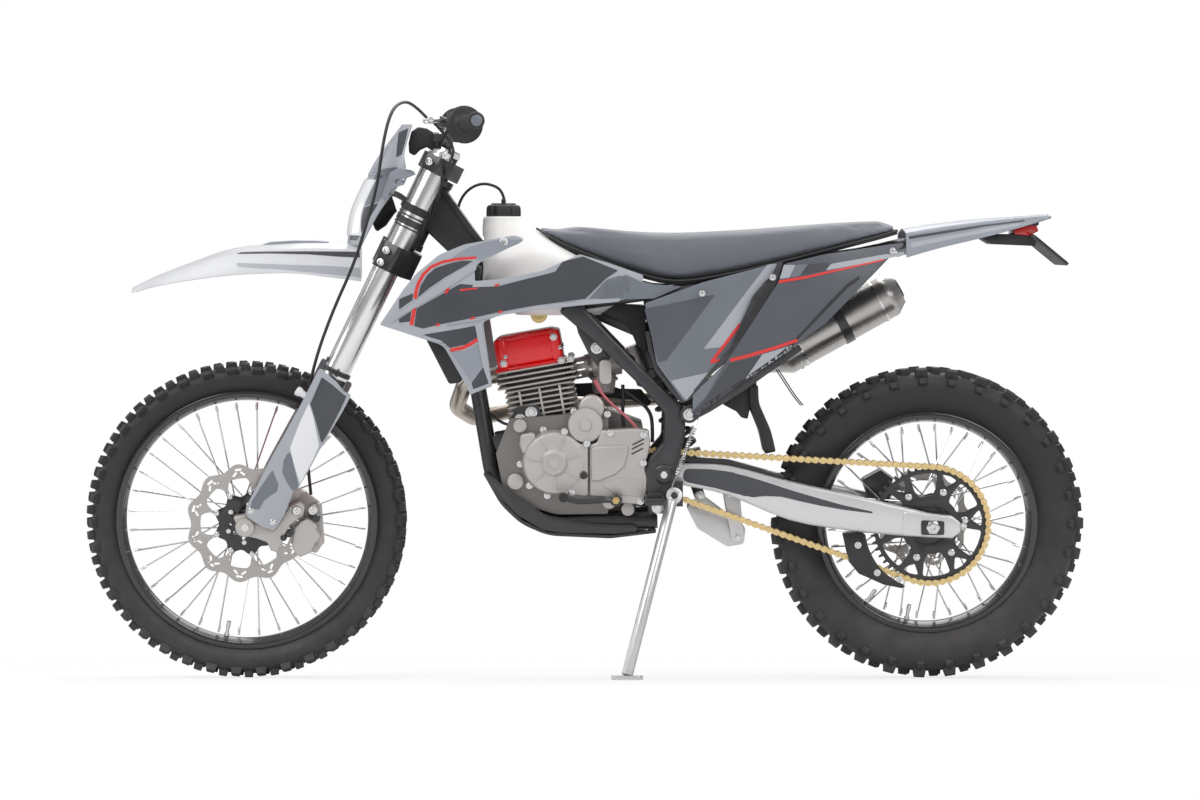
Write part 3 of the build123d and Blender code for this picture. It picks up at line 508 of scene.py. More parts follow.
def shaped(mesh, *steps):
    # mesh after modifiers, each given as (type, settings)
    holder = inScene("work", mesh)
    for kind, settings in steps:
        modifier = holder.modifiers.new(kind, kind)
        for key, value in settings.items():
            setattr(modifier, key, value)
    result = solved(holder)
    bpy.data.objects.remove(holder)
    return result


def softEdges(width, segments=2, angle=32):
    return ("BEVEL", {"width": width, "segments": segments, "limit_method": "ANGLE",
        "angle_limit": radians(angle), "use_clamp_overlap": True})


def walled(thickness):
    return ("SOLIDIFY", {"thickness": thickness, "offset": -1, "use_even_offset": False})


def slab(outline, yLow, yHigh, edge, round=6, segments=3, angle=50):
    # plate with rounded corners and edges
    return shaped(plateMesh([roundedOutline(outline, round)], yLow, yHigh),
        softEdges(edge, segments, angle))


def softBox(low, high, edge, segments=3, angle=50):
    return shaped(boxMesh(low, high), softEdges(edge, segments, angle))


def lathedAcross(x, z, yStart, yEnd, profile, sides=32):
    return latheMesh((x, yStart, z), (x, yEnd, z), profile, sides)


def bothSides(points, y):
    # places and directions for parts that face outward left and right
    return [((x, side * y, z), (0, side, 0)) for side in (-1, 1) for x, z in points]


def declared(obj, material, replaced, body):
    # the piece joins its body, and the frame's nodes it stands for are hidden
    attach(obj, body)
    if replaced:
        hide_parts(*replaced)
    return obj


def makePiece(name, mesh, material, replaced=(), body="chassis", smoothAngle=38):
    # the mesh goes to its body's place and becomes a piece of the machine
    mesh.transform(spaces[body])
    mesh.materials.clear()
    mesh.materials.append(material)
    mesh.polygons.foreach_set("material_index", [0] * len(mesh.polygons))
    mesh.shade_smooth()
    mesh.set_sharp_from_angle(angle=radians(smoothAngle))
    mesh.name = name
    return declared(inScene(name, mesh), material, replaced, body)


def smoothedNode(name, node, width, material, body="chassis"):
    # a copy of a plain node with its doubles merged and its edges rounded
    mesh = cadNodes[node].data.copy()
    mesh.transform(spaces[body].inverted())
    reworked(cleaned(mesh, 0.01), lambda work: bmesh.ops.dissolve_limit(work, angle_limit=radians(1),
        verts=work.verts, edges=work.edges))
    return makePiece(name, shaped(mesh, softEdges(width)), material, [node], body)


# geometry node trees


def repeatTree(name, *inputs):
    return newGroup("GeometryNodeTree", name, [("Geometry", "Geometry"), *inputs],
        [("Geometry", "Geometry")])


def partsAt(tree, part, points, **inputs):
    held = wired(tree, "GeometryNodeObjectInfo", {"Object": part}, transform_space="ORIGINAL")
    given = {"Points": points, "Instance": held.outputs["Geometry"], **inputs}
    return wired(tree, "GeometryNodeInstanceOnPoints", given).outputs["Instances"]


def closeTree(tree, given, final, instances):
    whole = wired(tree, "GeometryNodeRealizeInstances", {"Geometry": instances})
    paint = wired(tree, "GeometryNodeSetMaterial", {"Geometry": whole.outputs["Geometry"],
        "Material": given["Finish"]})
    feed(tree, final, {"Geometry": paint.outputs["Geometry"]})
    return tree


def makeRingTree():
    # parts round a wheel: local x points outward, y along the axle
    floats = [(label, "Float") for label in ("Radius", "Lateral", "Phase", "Tip")]
    tree, given, final = repeatTree("partsRoundWheel", ("Part", "Object"), ("Finish", "Material"),
        ("Count", "Int"), *floats)
    line = wired(tree, "GeometryNodeMeshLine", {"Count": given["Count"]}, mode="OFFSET")
    order = wired(tree, "GeometryNodeInputIndex").outputs[0]
    step = maths(tree, "DIVIDE", 2 * pi, given["Count"])
    angle = maths(tree, "ADD", maths(tree, "MULTIPLY", order, step), given["Phase"])
    x, z = [maths(tree, "MULTIPLY", given["Radius"], maths(tree, wave, angle, 0))
        for wave in ("COSINE", "SINE")]
    place = wired(tree, "ShaderNodeCombineXYZ", {0: x, 1: given["Lateral"], 2: z})
    spots = wired(tree, "GeometryNodeSetPosition", {"Geometry": line.outputs["Mesh"],
        "Position": place.outputs[0]})
    turn = wired(tree, "ShaderNodeCombineXYZ", {1: maths(tree, "MULTIPLY", angle, -1)})
    put = partsAt(tree, given["Part"], spots.outputs["Geometry"], Rotation=turn.outputs[0])
    local = wired(tree, "ShaderNodeCombineXYZ", {2: given["Tip"]})
    tip = wired(tree, "GeometryNodeRotateInstances", {"Instances": put, "Rotation": local.outputs[0]})
    return closeTree(tree, given, final, tip.outputs["Instances"])


def makePointTree():
    # parts at the points of a mesh, turned by its "turn" attribute
    tree, given, final = repeatTree("partsAtPoints", ("Part", "Object"), ("Finish", "Material"),
        ("Size", "Float"))
    turn = wired(tree, "GeometryNodeInputNamedAttribute", {"Name": "turn"}, data_type="FLOAT_VECTOR")
    put = partsAt(tree, given["Part"], given["Geometry"], Rotation=turn.outputs["Attribute"],
        Scale=given["Size"])
    return closeTree(tree, given, final, put)


def makePathTree():
    # two parts by turns along a line in the machine's middle plane, local x along it
    tree, given, final = repeatTree("partsAlongPath", ("Part", "Object"), ("Other Part", "Object"),
        ("Finish", "Material"), ("Count", "Int"))
    walk = wired(tree, "GeometryNodeCurveToPoints", {"Curve": given["Geometry"], "Count": given["Count"]},
        mode="COUNT")
    aim = wired(tree, "FunctionNodeAlignEulerToVector", {"Vector": walk.outputs["Tangent"]}, axis="X",
        pivot_axis="Y")
    odd = maths(tree, "MODULO", wired(tree, "GeometryNodeInputIndex").outputs[0], 2)
    both = wired(tree, "GeometryNodeJoinGeometry")
    for label, chosen in (("Part", maths(tree, "SUBTRACT", 1, odd)), ("Other Part", odd)):
        put = partsAt(tree, given[label], walk.outputs["Points"], Selection=chosen,
            Rotation=aim.outputs["Rotation"])
        feed(tree, both, {"Geometry": put})
    return closeTree(tree, given, final, both.outputs["Geometry"])


ringTree = makeRingTree()
pointTree = makePointTree()
pathTree = makePathTree()


def treeModifier(holder, tree, values):
    # inputs are set by their sockets' identifiers
    modifier = holder.modifiers.new("repeat", "NODES")
    modifier.node_group = tree
    for item in tree.interface.items_tree:
        if item.in_out == "INPUT" and item.name in values:
            modifier[item.identifier] = values[item.name]
    return modifier


def runTree(tree, carrier, values):
    # the tree's result as a plain mesh
    holder = inScene("carrier", carrier)
    modifier = treeModifier(holder, tree, values)
    holder.update_tag()
    result = solved(holder)
    holder.modifiers.remove(modifier)
    bpy.data.objects.remove(holder)
    return result


def partObject(mesh):
    # holds a small mesh for a tree to repeat; it isn't shown
    return bpy.data.objects.new("part", mesh)


def ringed(mesh, material, count, radius, lateral=0.0, phase=0.0, tip=0.0):
    part = partObject(mesh)
    result = runTree(ringTree, bpy.data.meshes.new("empty"), {"Part": part, "Finish": material,
        "Count": count, "Radius": float(radius), "Lateral": float(lateral), "Phase": float(phase),
        "Tip": float(tip)})
    bpy.data.objects.remove(part)
    return result


def dotted(mesh, rows, size=1.0):
    # rows of (place, direction): the part's z axis turns to the direction
    carrier = meshFrom([place for place, direction in rows], [], "points")
    attribute = carrier.attributes.new("turn", "FLOAT_VECTOR", "POINT")
    for entry, (place, direction) in zip(attribute.data, rows):
        entry.vector = Vector(direction).to_track_quat("Z", "Y").to_euler()
    part = partObject(mesh)
    result = runTree(pointTree, carrier, {"Part": part, "Finish": brightSteel, "Size": float(size)})
    bpy.data.objects.remove(part)
    return result

# finishes


def makeGrainGroup():
    # fine moulded grain as a height, and a cloudy mask for slow changes of tone
    group, given, final = newGroup("ShaderNodeTree", "fineGrain", [("Place", "Vector"),
        ("Size", "Float", 900.0), ("Patch Size", "Float", 9.0)],
        [("Height", "Float"), ("Patches", "Float")])
    grain = wired(group, "ShaderNodeTexVoronoi", {"Vector": given["Place"], "Scale": given["Size"]},
        feature="SMOOTH_F1")
    patches = wired(group, "ShaderNodeTexNoise", {"Vector": given["Place"], "Scale": given["Patch Size"],
        "Detail": 3.0})
    feed(group, final, {"Height": grain.outputs["Distance"], "Patches": patches.outputs["Fac"]})
    return group


def makeBrushGroup():
    # long fine lines along x of the place it is given
    group, given, final = newGroup("ShaderNodeTree", "brushedLines", [("Place", "Vector"),
        ("Across", "Float", 2600.0), ("Along", "Float", 14.0)], [("Lines", "Float")])
    stretch = wired(group, "ShaderNodeCombineXYZ", {0: given["Along"], 1: given["Across"],
        2: given["Across"]})
    place = wired(group, "ShaderNodeVectorMath", {0: given["Place"], 1: stretch.outputs[0]},
        operation="MULTIPLY")
    lines = wired(group, "ShaderNodeTexNoise", {"Vector": place.outputs[0], "Scale": 1.0, "Detail": 2.0})
    feed(group, final, {"Lines": lines.outputs["Fac"]})
    return group


def makeDustGroup():
    # faint dust on what faces up and low down on the machine
    group, given, final = newGroup("ShaderNodeTree", "dustFilm", [("Place", "Vector"),
        ("Upward", "Float", 0.5), ("Low", "Float", 0.3)], [("Mask", "Float")])
    normal = wired(group, "ShaderNodeNewGeometry").outputs["Normal"]
    upward = wired(group, "ShaderNodeSeparateXYZ", {0: normal}).outputs["Z"]
    height = wired(group, "ShaderNodeSeparateXYZ", {0: given["Place"]}).outputs["Z"]
    clouds = wired(group, "ShaderNodeTexNoise", {"Vector": given["Place"], "Scale": 26.0, "Detail": 5.0})
    low = wired(group, "ShaderNodeMapRange", {"Value": height, "From Min": 0.55, "From Max": 0.0,
        "To Max": given["Low"]})
    total = maths(group, "ADD", maths(group, "MULTIPLY", upward, given["Upward"], True),
        low.outputs["Result"])
    feed(group, final, {"Mask": maths(group, "MULTIPLY", total, clouds.outputs["Fac"], True)})
    return group


def makeRubAndHighlightGroup():
    # thin pale rubbing where the skin turns a sharp edge, which is also a painted edge highlight
    group, given, final = newGroup("ShaderNodeTree", "edgeRubAndHighlight", [("Place", "Vector"),
        ("Reach", "Float", 0.6)], [("Mask", "Float")])
    pointed = wired(group, "ShaderNodeNewGeometry").outputs["Pointiness"]
    sharp = wired(group, "ShaderNodeMapRange", {"Value": pointed, "From Min": 0.52, "From Max": 0.66})
    breakup = wired(group, "ShaderNodeTexNoise", {"Vector": given["Place"], "Scale": 160.0, "Detail": 4.0})
    part = maths(group, "MULTIPLY", sharp.outputs["Result"], breakup.outputs["Fac"])
    feed(group, final, {"Mask": maths(group, "MULTIPLY", part, given["Reach"], True)})
    return group


grainGroup = makeGrainGroup()
brushGroup = makeBrushGroup()
dustGroup = makeDustGroup()
rubAndHighlightGroup = makeRubAndHighlightGroup()


def blendColour(tree, share, first, second):
    return wired(tree, "ShaderNodeMix", {0: share, 6: first, 7: second}, data_type="RGBA").outputs[2]


def rangeOf(tree, value, low, high):
    spread = {"Value": value, "From Min": 0.3, "From Max": 0.7, "To Min": low, "To Max": high}
    return wired(tree, "ShaderNodeMapRange", spread).outputs["Result"]


slotOf, slotFinish = {}, {}


def finish(name, colour, rough, slot, metal=0.0, coat=0.0, grainSize=900.0, grainDepth=0.0, tone=0.06,
        brushed=0.0, brushSpace=None, dust=0.0, rubAndHighlight=0.0, rubAndHighlightColour=None, roughSpread=0.08, sheen=0.0,
        patchSize=9.0):
    material = bpy.data.materials.new(name)
    material.use_nodes = True
    tree = material.node_tree
    shader = feed(tree, tree.nodes["Principled BSDF"], {"Metallic": metal, "Coat Weight": coat,
        "Coat Roughness": 0.06, "Sheen Weight": sheen})
    place = wired(tree, "ShaderNodeTexCoord").outputs["Object"]
    grain = wired(tree, "ShaderNodeGroup", {"Place": place, "Size": grainSize, "Patch Size": patchSize},
        node_tree=grainGroup)
    patches = grain.outputs["Patches"]
    pale = tuple(min(1.0, c * (1 + tone)) for c in colour) + (1,)
    deep = tuple(c * (1 - tone) for c in colour) + (1,)
    shade = blendColour(tree, patches, deep, pale)
    height = grain.outputs["Height"]
    if brushed:
        line = place
        if brushSpace:
            line = wired(tree, "ShaderNodeMapping",
                {"Rotation": brushSpace, "Vector": place}).outputs["Vector"]
        height = wired(tree, "ShaderNodeGroup", {"Place": line}, node_tree=brushGroup).outputs["Lines"]
        dark = tuple(c * 0.6 for c in colour) + (1,)
        shade = blendColour(tree, rangeOf(tree, height, 0.0, brushed), shade, dark)
    if dust:
        film = wired(tree, "ShaderNodeGroup", {"Place": place, "Upward": dust, "Low": dust * 0.6},
            node_tree=dustGroup)
        shade = blendColour(tree, film.outputs["Mask"], shade, (0.52, 0.49, 0.45, 1))
    # pale sharp edges: partly edge wear, partly a painted highlight where edges catch the light
    if rubAndHighlight:
        rubAndHighlightMask = wired(tree, "ShaderNodeGroup", {"Place": place, "Reach": rubAndHighlight}, node_tree=rubAndHighlightGroup)
        rubAndHighlightTint = rubAndHighlightColour or tuple(min(1.0, c * 2.2 + 0.05) for c in colour)
        shade = blendColour(tree, rubAndHighlightMask.outputs["Mask"], shade, tuple(rubAndHighlightTint) + (1,))
    feed(tree, shader, {"Base Color": shade, "Roughness": rangeOf(tree, patches, rough - roughSpread, rough
        + roughSpread)})
    if grainDepth:
        bump = wired(tree, "ShaderNodeBump", {"Strength": 0.6, "Distance": grainDepth, "Height": height})
        feed(tree, shader, {"Normal": bump.outputs["Normal"]})
    slotOf[name] = slot
    slotFinish.setdefault(slot, material)  # the first finish of a slot also paints its plain nodes
    return material


# the tyre's pale edges also paint the knob tops lighter, as a painted highlight
tyreRubber = finish("tyreRubber", (0.018, 0.017, 0.018), 0.62, "tyre_rubber", grainSize=1400,
    grainDepth=0.0001, dust=0.16, rubAndHighlight=0.5, rubAndHighlightColour=(0.075, 0.07, 0.068), tone=0.2)
softRubber = finish("softRubber", (0.016, 0.016, 0.017), 0.5, "rubber_black", grainSize=1600,
    grainDepth=0.00008, tone=0.2)
satinBlack = finish("satinBlack", (0.022, 0.022, 0.024), 0.34, "control_black", grainSize=1500,
    grainDepth=0.00004, coat=0.25, rubAndHighlight=0.5, tone=0.15, dust=0.06)
framePaint = finish("framePaint", (0.028, 0.028, 0.031), 0.36, "frame_black", grainSize=900,
    grainDepth=0.00005, coat=0.2, rubAndHighlight=0.35, tone=0.12, dust=0.06)
rimBlack = finish("rimBlack", (0.011, 0.011, 0.012), 0.26, "rim_black", coat=0.6, tone=0.1, rubAndHighlight=0.4,
    dust=0.05)
hubBlack = finish("hubBlack", (0.014, 0.014, 0.015), 0.3, "rim_black", coat=0.4, tone=0.1, rubAndHighlight=0.6)
mouldedBlack = finish("mouldedBlack", (0.02, 0.02, 0.022), 0.5, "plastic_black", grainSize=1100,
    grainDepth=0.0002, tone=0.15, dust=0.08)
paleGrey = finish("paleGrey", (0.36, 0.38, 0.41), 0.38, "plastic_pale", grainSize=1200, grainDepth=0.00003,
    coat=0.15, tone=0.04)
midGrey = finish("midGrey", (0.15, 0.165, 0.19), 0.4, "plastic_grey", grainSize=1200, grainDepth=0.00003,
    coat=0.15, tone=0.05)
slateGrey = finish("slateGrey", (0.052, 0.055, 0.064), 0.4, "plastic_black", grainSize=1200,
    grainDepth=0.00003, coat=0.15, tone=0.05)
ironGrey = finish("ironGrey", (0.082, 0.088, 0.103), 0.4, "plastic_grey", grainSize=1200,
    grainDepth=0.00003, coat=0.15, tone=0.05)
coolGrey = finish("coolGrey", (0.26, 0.28, 0.32), 0.38, "plastic_grey", grainSize=1200, grainDepth=0.00003,
    coat=0.15, tone=0.05)
whitePlastic = finish("whitePlastic", (0.74, 0.745, 0.76), 0.35, "plastic_pale", grainSize=1200,
    grainDepth=0.00003, coat=0.1, tone=0.03)
fenderPale = finish("fenderPale", (0.60, 0.607, 0.625), 0.35, "plastic_pale", grainSize=1200,
    grainDepth=0.00003, coat=0.1, tone=0.03)
tankWhite = finish("tankWhite", (0.80, 0.785, 0.765), 0.42, "tank_white", grainSize=700, grainDepth=0.00004,
    tone=0.03, patchSize=5)
lampRed = finish("lampRed", (0.55, 0.012, 0.01), 0.14, "lamp_red", coat=0.8, tone=0.1, grainSize=260,
    grainDepth=0.0003)
redStripe = finish("redStripe", (0.66, 0.035, 0.03), 0.42, "lamp_red", coat=0.2, tone=0.06, grainSize=1500,
    grainDepth=0.00003)
valveRed = finish("valveRed", (0.78, 0.0, 0.004), 0.26, "valve_red", coat=0.5, tone=0.12, grainSize=300,
    grainDepth=0.00003)
castAlloy = finish("castAlloy", (0.50, 0.475, 0.45), 0.46, "engine_alloy", metal=0.55, grainSize=900,
    grainDepth=0.00014, tone=0.07, dust=0.03)
finAlloy = finish("finAlloy", (0.52, 0.49, 0.46), 0.42, "fin_alloy", metal=0.6, grainSize=1100,
    grainDepth=0.0001, tone=0.1)
# a darker copy of the cast alloy: painted shade for the crankcase in shadow behind the covers
shadedCaseAlloy = finish("shadedCaseAlloy", (0.2, 0.19, 0.18), 0.5, "engine_alloy", metal=0.5, grainSize=900,
    grainDepth=0.00014, tone=0.1, dust=0.03)
polishedAlloy = finish("polishedAlloy", (0.80, 0.79, 0.78), 0.24, "alloy_bright", metal=0.85,
    grainSize=1500, grainDepth=0.00003, tone=0.04)
armAlloy = finish("armAlloy", (0.70, 0.695, 0.69), 0.34, "alloy_bright", metal=0.6, brushed=0.25,
    grainDepth=0.00002, tone=0.05)
brushedSteel = finish("brushedSteel", (0.50, 0.48, 0.455), 0.3, "steel_brushed", metal=0.95, brushed=0.35,
    grainDepth=0.00003, brushSpace=(0, radians(-29), 0), tone=0.08)
headerSteel = finish("headerSteel", (0.46, 0.42, 0.36), 0.3, "steel_brushed", metal=0.95, tone=0.22,
    patchSize=14, grainDepth=0.00003)
brightSteel = finish("brightSteel", (0.66, 0.655, 0.65), 0.24, "steel_bright", metal=1.0, tone=0.08,
    grainDepth=0.00002)
forkSilver = finish("forkSilver", (0.78, 0.77, 0.765), 0.26, "steel_bright", metal=0.95, brushed=0.1,
    brushSpace=(0, radians(64), 0), tone=0.03, roughSpread=0.02)
discSteel = finish("discSteel", (0.44, 0.42, 0.40), 0.3, "disc_steel", metal=0.9, brushed=0.25,
    grainDepth=0.00002, tone=0.05)
chainGold = finish("chainGold", (0.74, 0.56, 0.27), 0.3, "chain_gold", metal=0.75, tone=0.12,
    grainDepth=0.00002)
brassFit = finish("brassFit", (0.62, 0.46, 0.19), 0.32, "chain_gold", metal=0.9, tone=0.15)
seatCover = finish("seatCover", (0.105, 0.115, 0.135), 0.62, "seat_grey", grainSize=900, grainDepth=0.00025,
    tone=0.05, sheen=0.35)
wirePink = finish("wirePink", (0.62, 0.16, 0.19), 0.45, "lamp_red", tone=0.2)
lensClear = finish("lensClear", (0.78, 0.79, 0.8), 0.1, "lens_pale", coat=0.6, tone=0.04, grainSize=300,
    grainDepth=0.00004)

def paintFrame():
    # every node of the frame gets its slot's finish; later pieces stand for some of them
    for entry in frame["record"]["subparts"]:
        holder = cadNodes[entry["node"]]
        holder.data.materials.clear()
        holder.data.materials.append(slotFinish[entry["material_slot"]])


paintFrame()
print("finishes ready:", len(bpy.data.materials))

# wheels
# Wheels are drawn about their own hub: x and z radial, y to the rider's right.

# knobs are lateral, lean (degrees), phase (pitches), length round, width, height, foot below the crown
tyres = {
    "front_tyre": {
        "body": "front_wheel", "radius": 350, "halfWidth": 42, "bead": 272, "flange": 22, "pitches": 38,
        "knobs": [
            (9.5, 8, 0.0, 19, 14, 13, 15.4), (24, 22, 0.5, 20, 13, 13, 16.5),
            (36.5, 48, 0.0, 22, 11, 12, 21),
        ],
    },
    "rear_tyre": {
        "body": "rear_wheel", "radius": 342, "halfWidth": 55, "bead": 229, "flange": 29, "pitches": 31,
        "knobs": [
            (12, 6, 0.5, 21, 19, 16, 18.4), (33, 22, 0.0, 27, 17, 17, 20.5), (50, 66, 0.0, 17, 14, 7, 33),
        ],
    },
}


def carcassOutline(spec):
    radius, half = spec["radius"] - 14, spec["halfWidth"]
    bead, flange = spec["bead"], spec["flange"]
    rise = radius - bead
    side = [(flange - 2, bead - 4), (flange + 1, bead + 6), (flange + 2, bead + 12),
        (flange + 1, bead + 13.5), (flange + 3.5, bead + 15), (half * 0.80, bead + rise * 0.34),
        (half * 0.905, bead + rise * 0.5), (half * 0.94, bead + rise * 0.64),
        (half * 0.92, bead + rise * 0.76), (half * 0.82, bead + rise * 0.87),
        (half * 0.62, bead + rise * 0.955), (half * 0.34, bead + rise * 0.992), (0, radius)]
    left = [(-y, r) for y, r in side]
    return left + [(y, r) for y, r in reversed(side[:-1])]


def knobMesh(long, wide, high):
    # block with sloped sides and rounded edges, sunk a little into the carcass
    work = bmesh.new()
    bmesh.ops.create_cube(work, size=1)
    for v in work.verts:
        top = v.co.x > 0
        shrink = 0.84 if top else 1.12
        v.co = Vector((high if top else -5, v.co.y * wide * shrink, v.co.z * long * shrink))
    return blockFrom(work, 1.3)


def makeTyres():
    for name, spec in tyres.items():
        parts = [ringMesh(carcassOutline(spec), 144)]
        pitch = 2 * pi / spec["pitches"]
        for lateral, tilt, phase, long, wide, high, foot in spec["knobs"]:
            for side in (-1, 1):
                shift = phase * pitch + (0 if side < 0 else pitch * 0.12)
                parts.append(ringed(knobMesh(long, wide, high), tyreRubber, spec["pitches"],
                    spec["radius"] - foot, side * lateral, shift, side * radians(tilt)))
        makePiece(name.replace("_t", "T"), merged(*parts), tyreRubber, [name], body=spec["body"])


rims = {
    "front_rim": {
        "body": "front_wheel", "bore": 264, "flange": 22, "spokes": 36, "valves": (1.76,),
    },
    "rear_rim": {
        "body": "rear_wheel", "bore": 221, "flange": 29, "spokes": 36, "valves": (1.76, 2.2),
    },
}


def rimOutline(bore, flange):
    bead = bore + 8
    half = [(0, bore - 1.5), (flange * 0.34, bore - 1.0), (flange * 0.62, bore + 1.5),
        (flange * 0.9, bead - 3.5), (flange + 2.6, bead - 1.5), (flange + 4.2, bead + 2),
        (flange + 4.4, bead + 9), (flange + 3.2, bead + 11.4), (flange + 1.2, bead + 11),
        (flange + 0.6, bead + 4)]
    left = [(-y, r) for y, r in reversed(half)]
    return left + half[1:]


def nippleSeat():
    return latheMesh((9, 0, 0), (-11, 0, 0), [(0, 7.5), (4, 7.2), (8, 5.2), (10.5, 3.4), (11, 2.6)], 14)


def nipple():
    return latheMesh((-8, 0, 0), (-25, 0, 0), [(0, 2.7), (6, 2.6), (6.5, 3.2), (10, 3.2), (10.8, 2.4),
        (17, 1.9)], 8)


def makeRims():
    for name, spec in rims.items():
        bore, count = spec["bore"], spec["spokes"]
        parts, nipples = [ringMesh(rimOutline(bore, spec["flange"]), 180)], []
        for k in range(2):
            side = -1 if k else 1
            phase = 2 * pi * (k + 0.5) / count
            parts.append(ringed(nippleSeat(), rimBlack, count // 2, bore + 2, side * 4.5, phase))
            nipples.append(ringed(nipple(), brightSteel, count // 2, bore + 2, side * 4.5, phase))
        title = name.split("_")[0]
        makePiece(title + "Rim", merged(*parts), rimBlack, [name], body=spec["body"])
        makePiece(title + "Nipples", merged(*nipples), brightSteel, body=spec["body"])
        valve = latheMesh((2, 0, 0), (-34, 0, 0), [(0, 4), (4, 4), (4.5, 6.2), (8, 6.2), (8.5, 3.9),
            (22, 3.9), (22.5, 4.8), (35, 4.6), (36, 3.6)], 12)
        stems = [ringed(valve, brightSteel, 1, bore - 1, 0, -angle) for angle in spec["valves"]]
        makePiece(title + "Valve", merged(*stems), brightSteel, body=spec["body"])


wires = {
    "front_spokes": {
        "body": "front_wheel", "count": 36, "flangeR": 30, "flangeY": 30, "rim": 264, "lead": 40,
    },
    "rear_spokes": {
        "body": "rear_wheel", "count": 36, "flangeR": 48, "flangeY": 38, "rim": 221, "lead": 40,
    },
}


def spokeMesh(start, end, side):
    # wire with its head and elbow at the flange
    head = start - Vector((0, side * 6, 0))
    line = tubeMesh([head, start, start.lerp(end, 0.04), start.lerp(end, 0.3), end], 1.75, 8, 3)
    return merged(line, latheMesh(head, head + Vector((0, side * 1.6, 0)), [(0, 3.2), (1.6, 2.6)], 8))


def makeSpokes():
    for name, spec in wires.items():
        strands = []
        for k in range(spec["count"]):
            side = -1 if k % 2 else 1
            way = 1 if (k // 2) % 2 else -1
            outer = 2 * pi * (k + 0.5) / spec["count"]
            inner = outer + way * radians(spec["lead"])
            inset = 1.3 if way > 0 else 3.9
            y = side * (spec["flangeY"] + 2.5 - inset)
            near, far = polar(spec["flangeR"], inner), polar(spec["rim"] - 6, outer)
            strands.append(spokeMesh(Vector((near.x, y, near.y)), Vector((far.x, side * 5, far.y)), side))
        makePiece(name.replace("_s", "S"), merged(*strands), brightSteel, [name], body=spec["body"])


discs = {
    "front_disc": {
        "body": "front_wheel", "radius": 130, "inner": 99, "y": -62, "waves": 11, "carrier": 58, "lugs": 9,
    },
    "rear_disc": {
        "body": "rear_wheel", "radius": 110, "inner": 84, "y": 74, "waves": 10, "carrier": 50, "lugs": 6,
    },
}


def waved(radius, depth, waves):
    # closed outline that swells into rounded peaks
    turns = [2 * pi * k / (waves * 12) for k in range(waves * 12)]
    return [polar(radius - depth * (0.5 - 0.5 * cos(a * waves)), a) for a in turns]


def slotOutline(radius, angle, long, wide, turn):
    # rounded slot at a radius, turned from the radial line
    centre, along = polar(radius, angle), polar(1, angle + turn)
    across = Vector((-along.y, along.x))
    corners = [centre + along * a * long / 2 + across * b * wide / 2 for a,
        b in ((-1, -1), (1, -1), (1, 1), (-1, 1))]
    return roundedOutline([tuple(c) for c in corners], wide * 0.45, 3)


def makeDiscs():
    for name, spec in discs.items():
        y, waves, lugs = spec["y"], spec["waves"], spec["lugs"]
        step = 2 * pi / waves
        outer = waved(spec["radius"], 11, waves)
        # the inner edge reaches in to each rivet and swings out between them
        inner = []
        for k in range(lugs * 16):
            angle = 2 * pi * k / (lugs * 16)
            swing = abs(sin(angle * lugs / 2))
            near, far = spec["carrier"] + 13, spec["inner"]
            radius = near + (far - near) * min(1, swing * 1.5) ** 0.7
            inner.append(polar(radius, angle))
        holes = [slotOutline(spec["radius"] - 12, k * step, 15, 5.5, pi / 2) for k in range(waves)]
        for turn in (0.9, -0.9):
            shift = 0.86 if turn > 0 else 0.14
            holes += [slotOutline(spec["radius"] - 21, (k + shift) * step, 13, 5, turn)
                for k in range(waves)]
        plate = plateMesh([outer, inner] + holes, y - 2, y + 2)
        ring = shaped(plate, softEdges(0.35, 1))
        title = name.split("_")[0]
        makePiece(title + "Disc", ring, discSteel, [name], body=spec["body"])
        carrierLoop = waved(spec["carrier"] + 12, 11, lugs)
        pockets = [circleOutline(*polar(33, 2 * pi * (k + 0.5) / lugs), 4.2, 12) for k in range(lugs)]
        carrier = plateMesh([carrierLoop, circleOutline(0, 0, 20, 32)] + pockets, y - 3.4, y + 3.4)
        makePiece(title + "DiscCarrier", shaped(carrier, softEdges(0.8, 2)), hubBlack, body=spec["body"])
        rivet = lathedAcross(0, 0, -5.4, 5.4, [(0, 3), (0.8, 5.4), (2.2, 6.4), (8.6, 6.4), (10, 5.4),
            (10.8, 3)], 16)
        rivets = ringed(rivet, brightSteel, lugs, spec["carrier"] + 9.5, y)
        bolt = lathedAcross(0, 0, -6.2, 6.2, [(0, 2.4), (1.4, 2.6), (1.5, 5.0), (5, 5.4), (12.4, 5.4)], 12)
        bolts = ringed(bolt, brightSteel, 6, 42, y, 0.4)
        makePiece(title + "DiscRivets", merged(rivets, bolts), brightSteel, body=spec["body"])


hubRibs = 9
# outlines are lateral, radius: from the left end to the right end
hubs = {
    "front_hub": {
        "body": "front_wheel", "barrel": 20, "bore": 8.6, "boss": (-60, -31, 24),
        "outline": [
            (-38, 17), (-36, 19), (-33, 30), (-31, 34.5), (-27.5, 34.5), (-25, 29), (-17, 22.5), (0, 20.5),
            (17, 22.5), (25, 29), (27.5, 34.5), (31, 34.5), (33, 30), (37, 19), (38, 17),
        ],
    },
    "rear_hub": {
        "body": "rear_wheel", "barrel": 30, "bore": 10.1, "boss": (-68, -40, 40),
        "outline": [
            (-61, 20), (-59, 28), (-56, 33), (-42, 38), (-40, 52.5), (-35, 53), (-32, 44), (-22, 33),
            (0, 30), (22, 33), (32, 44), (35, 53), (40, 52.5), (43, 38), (58, 33), (60, 24), (61, 20),
        ],
    },
}


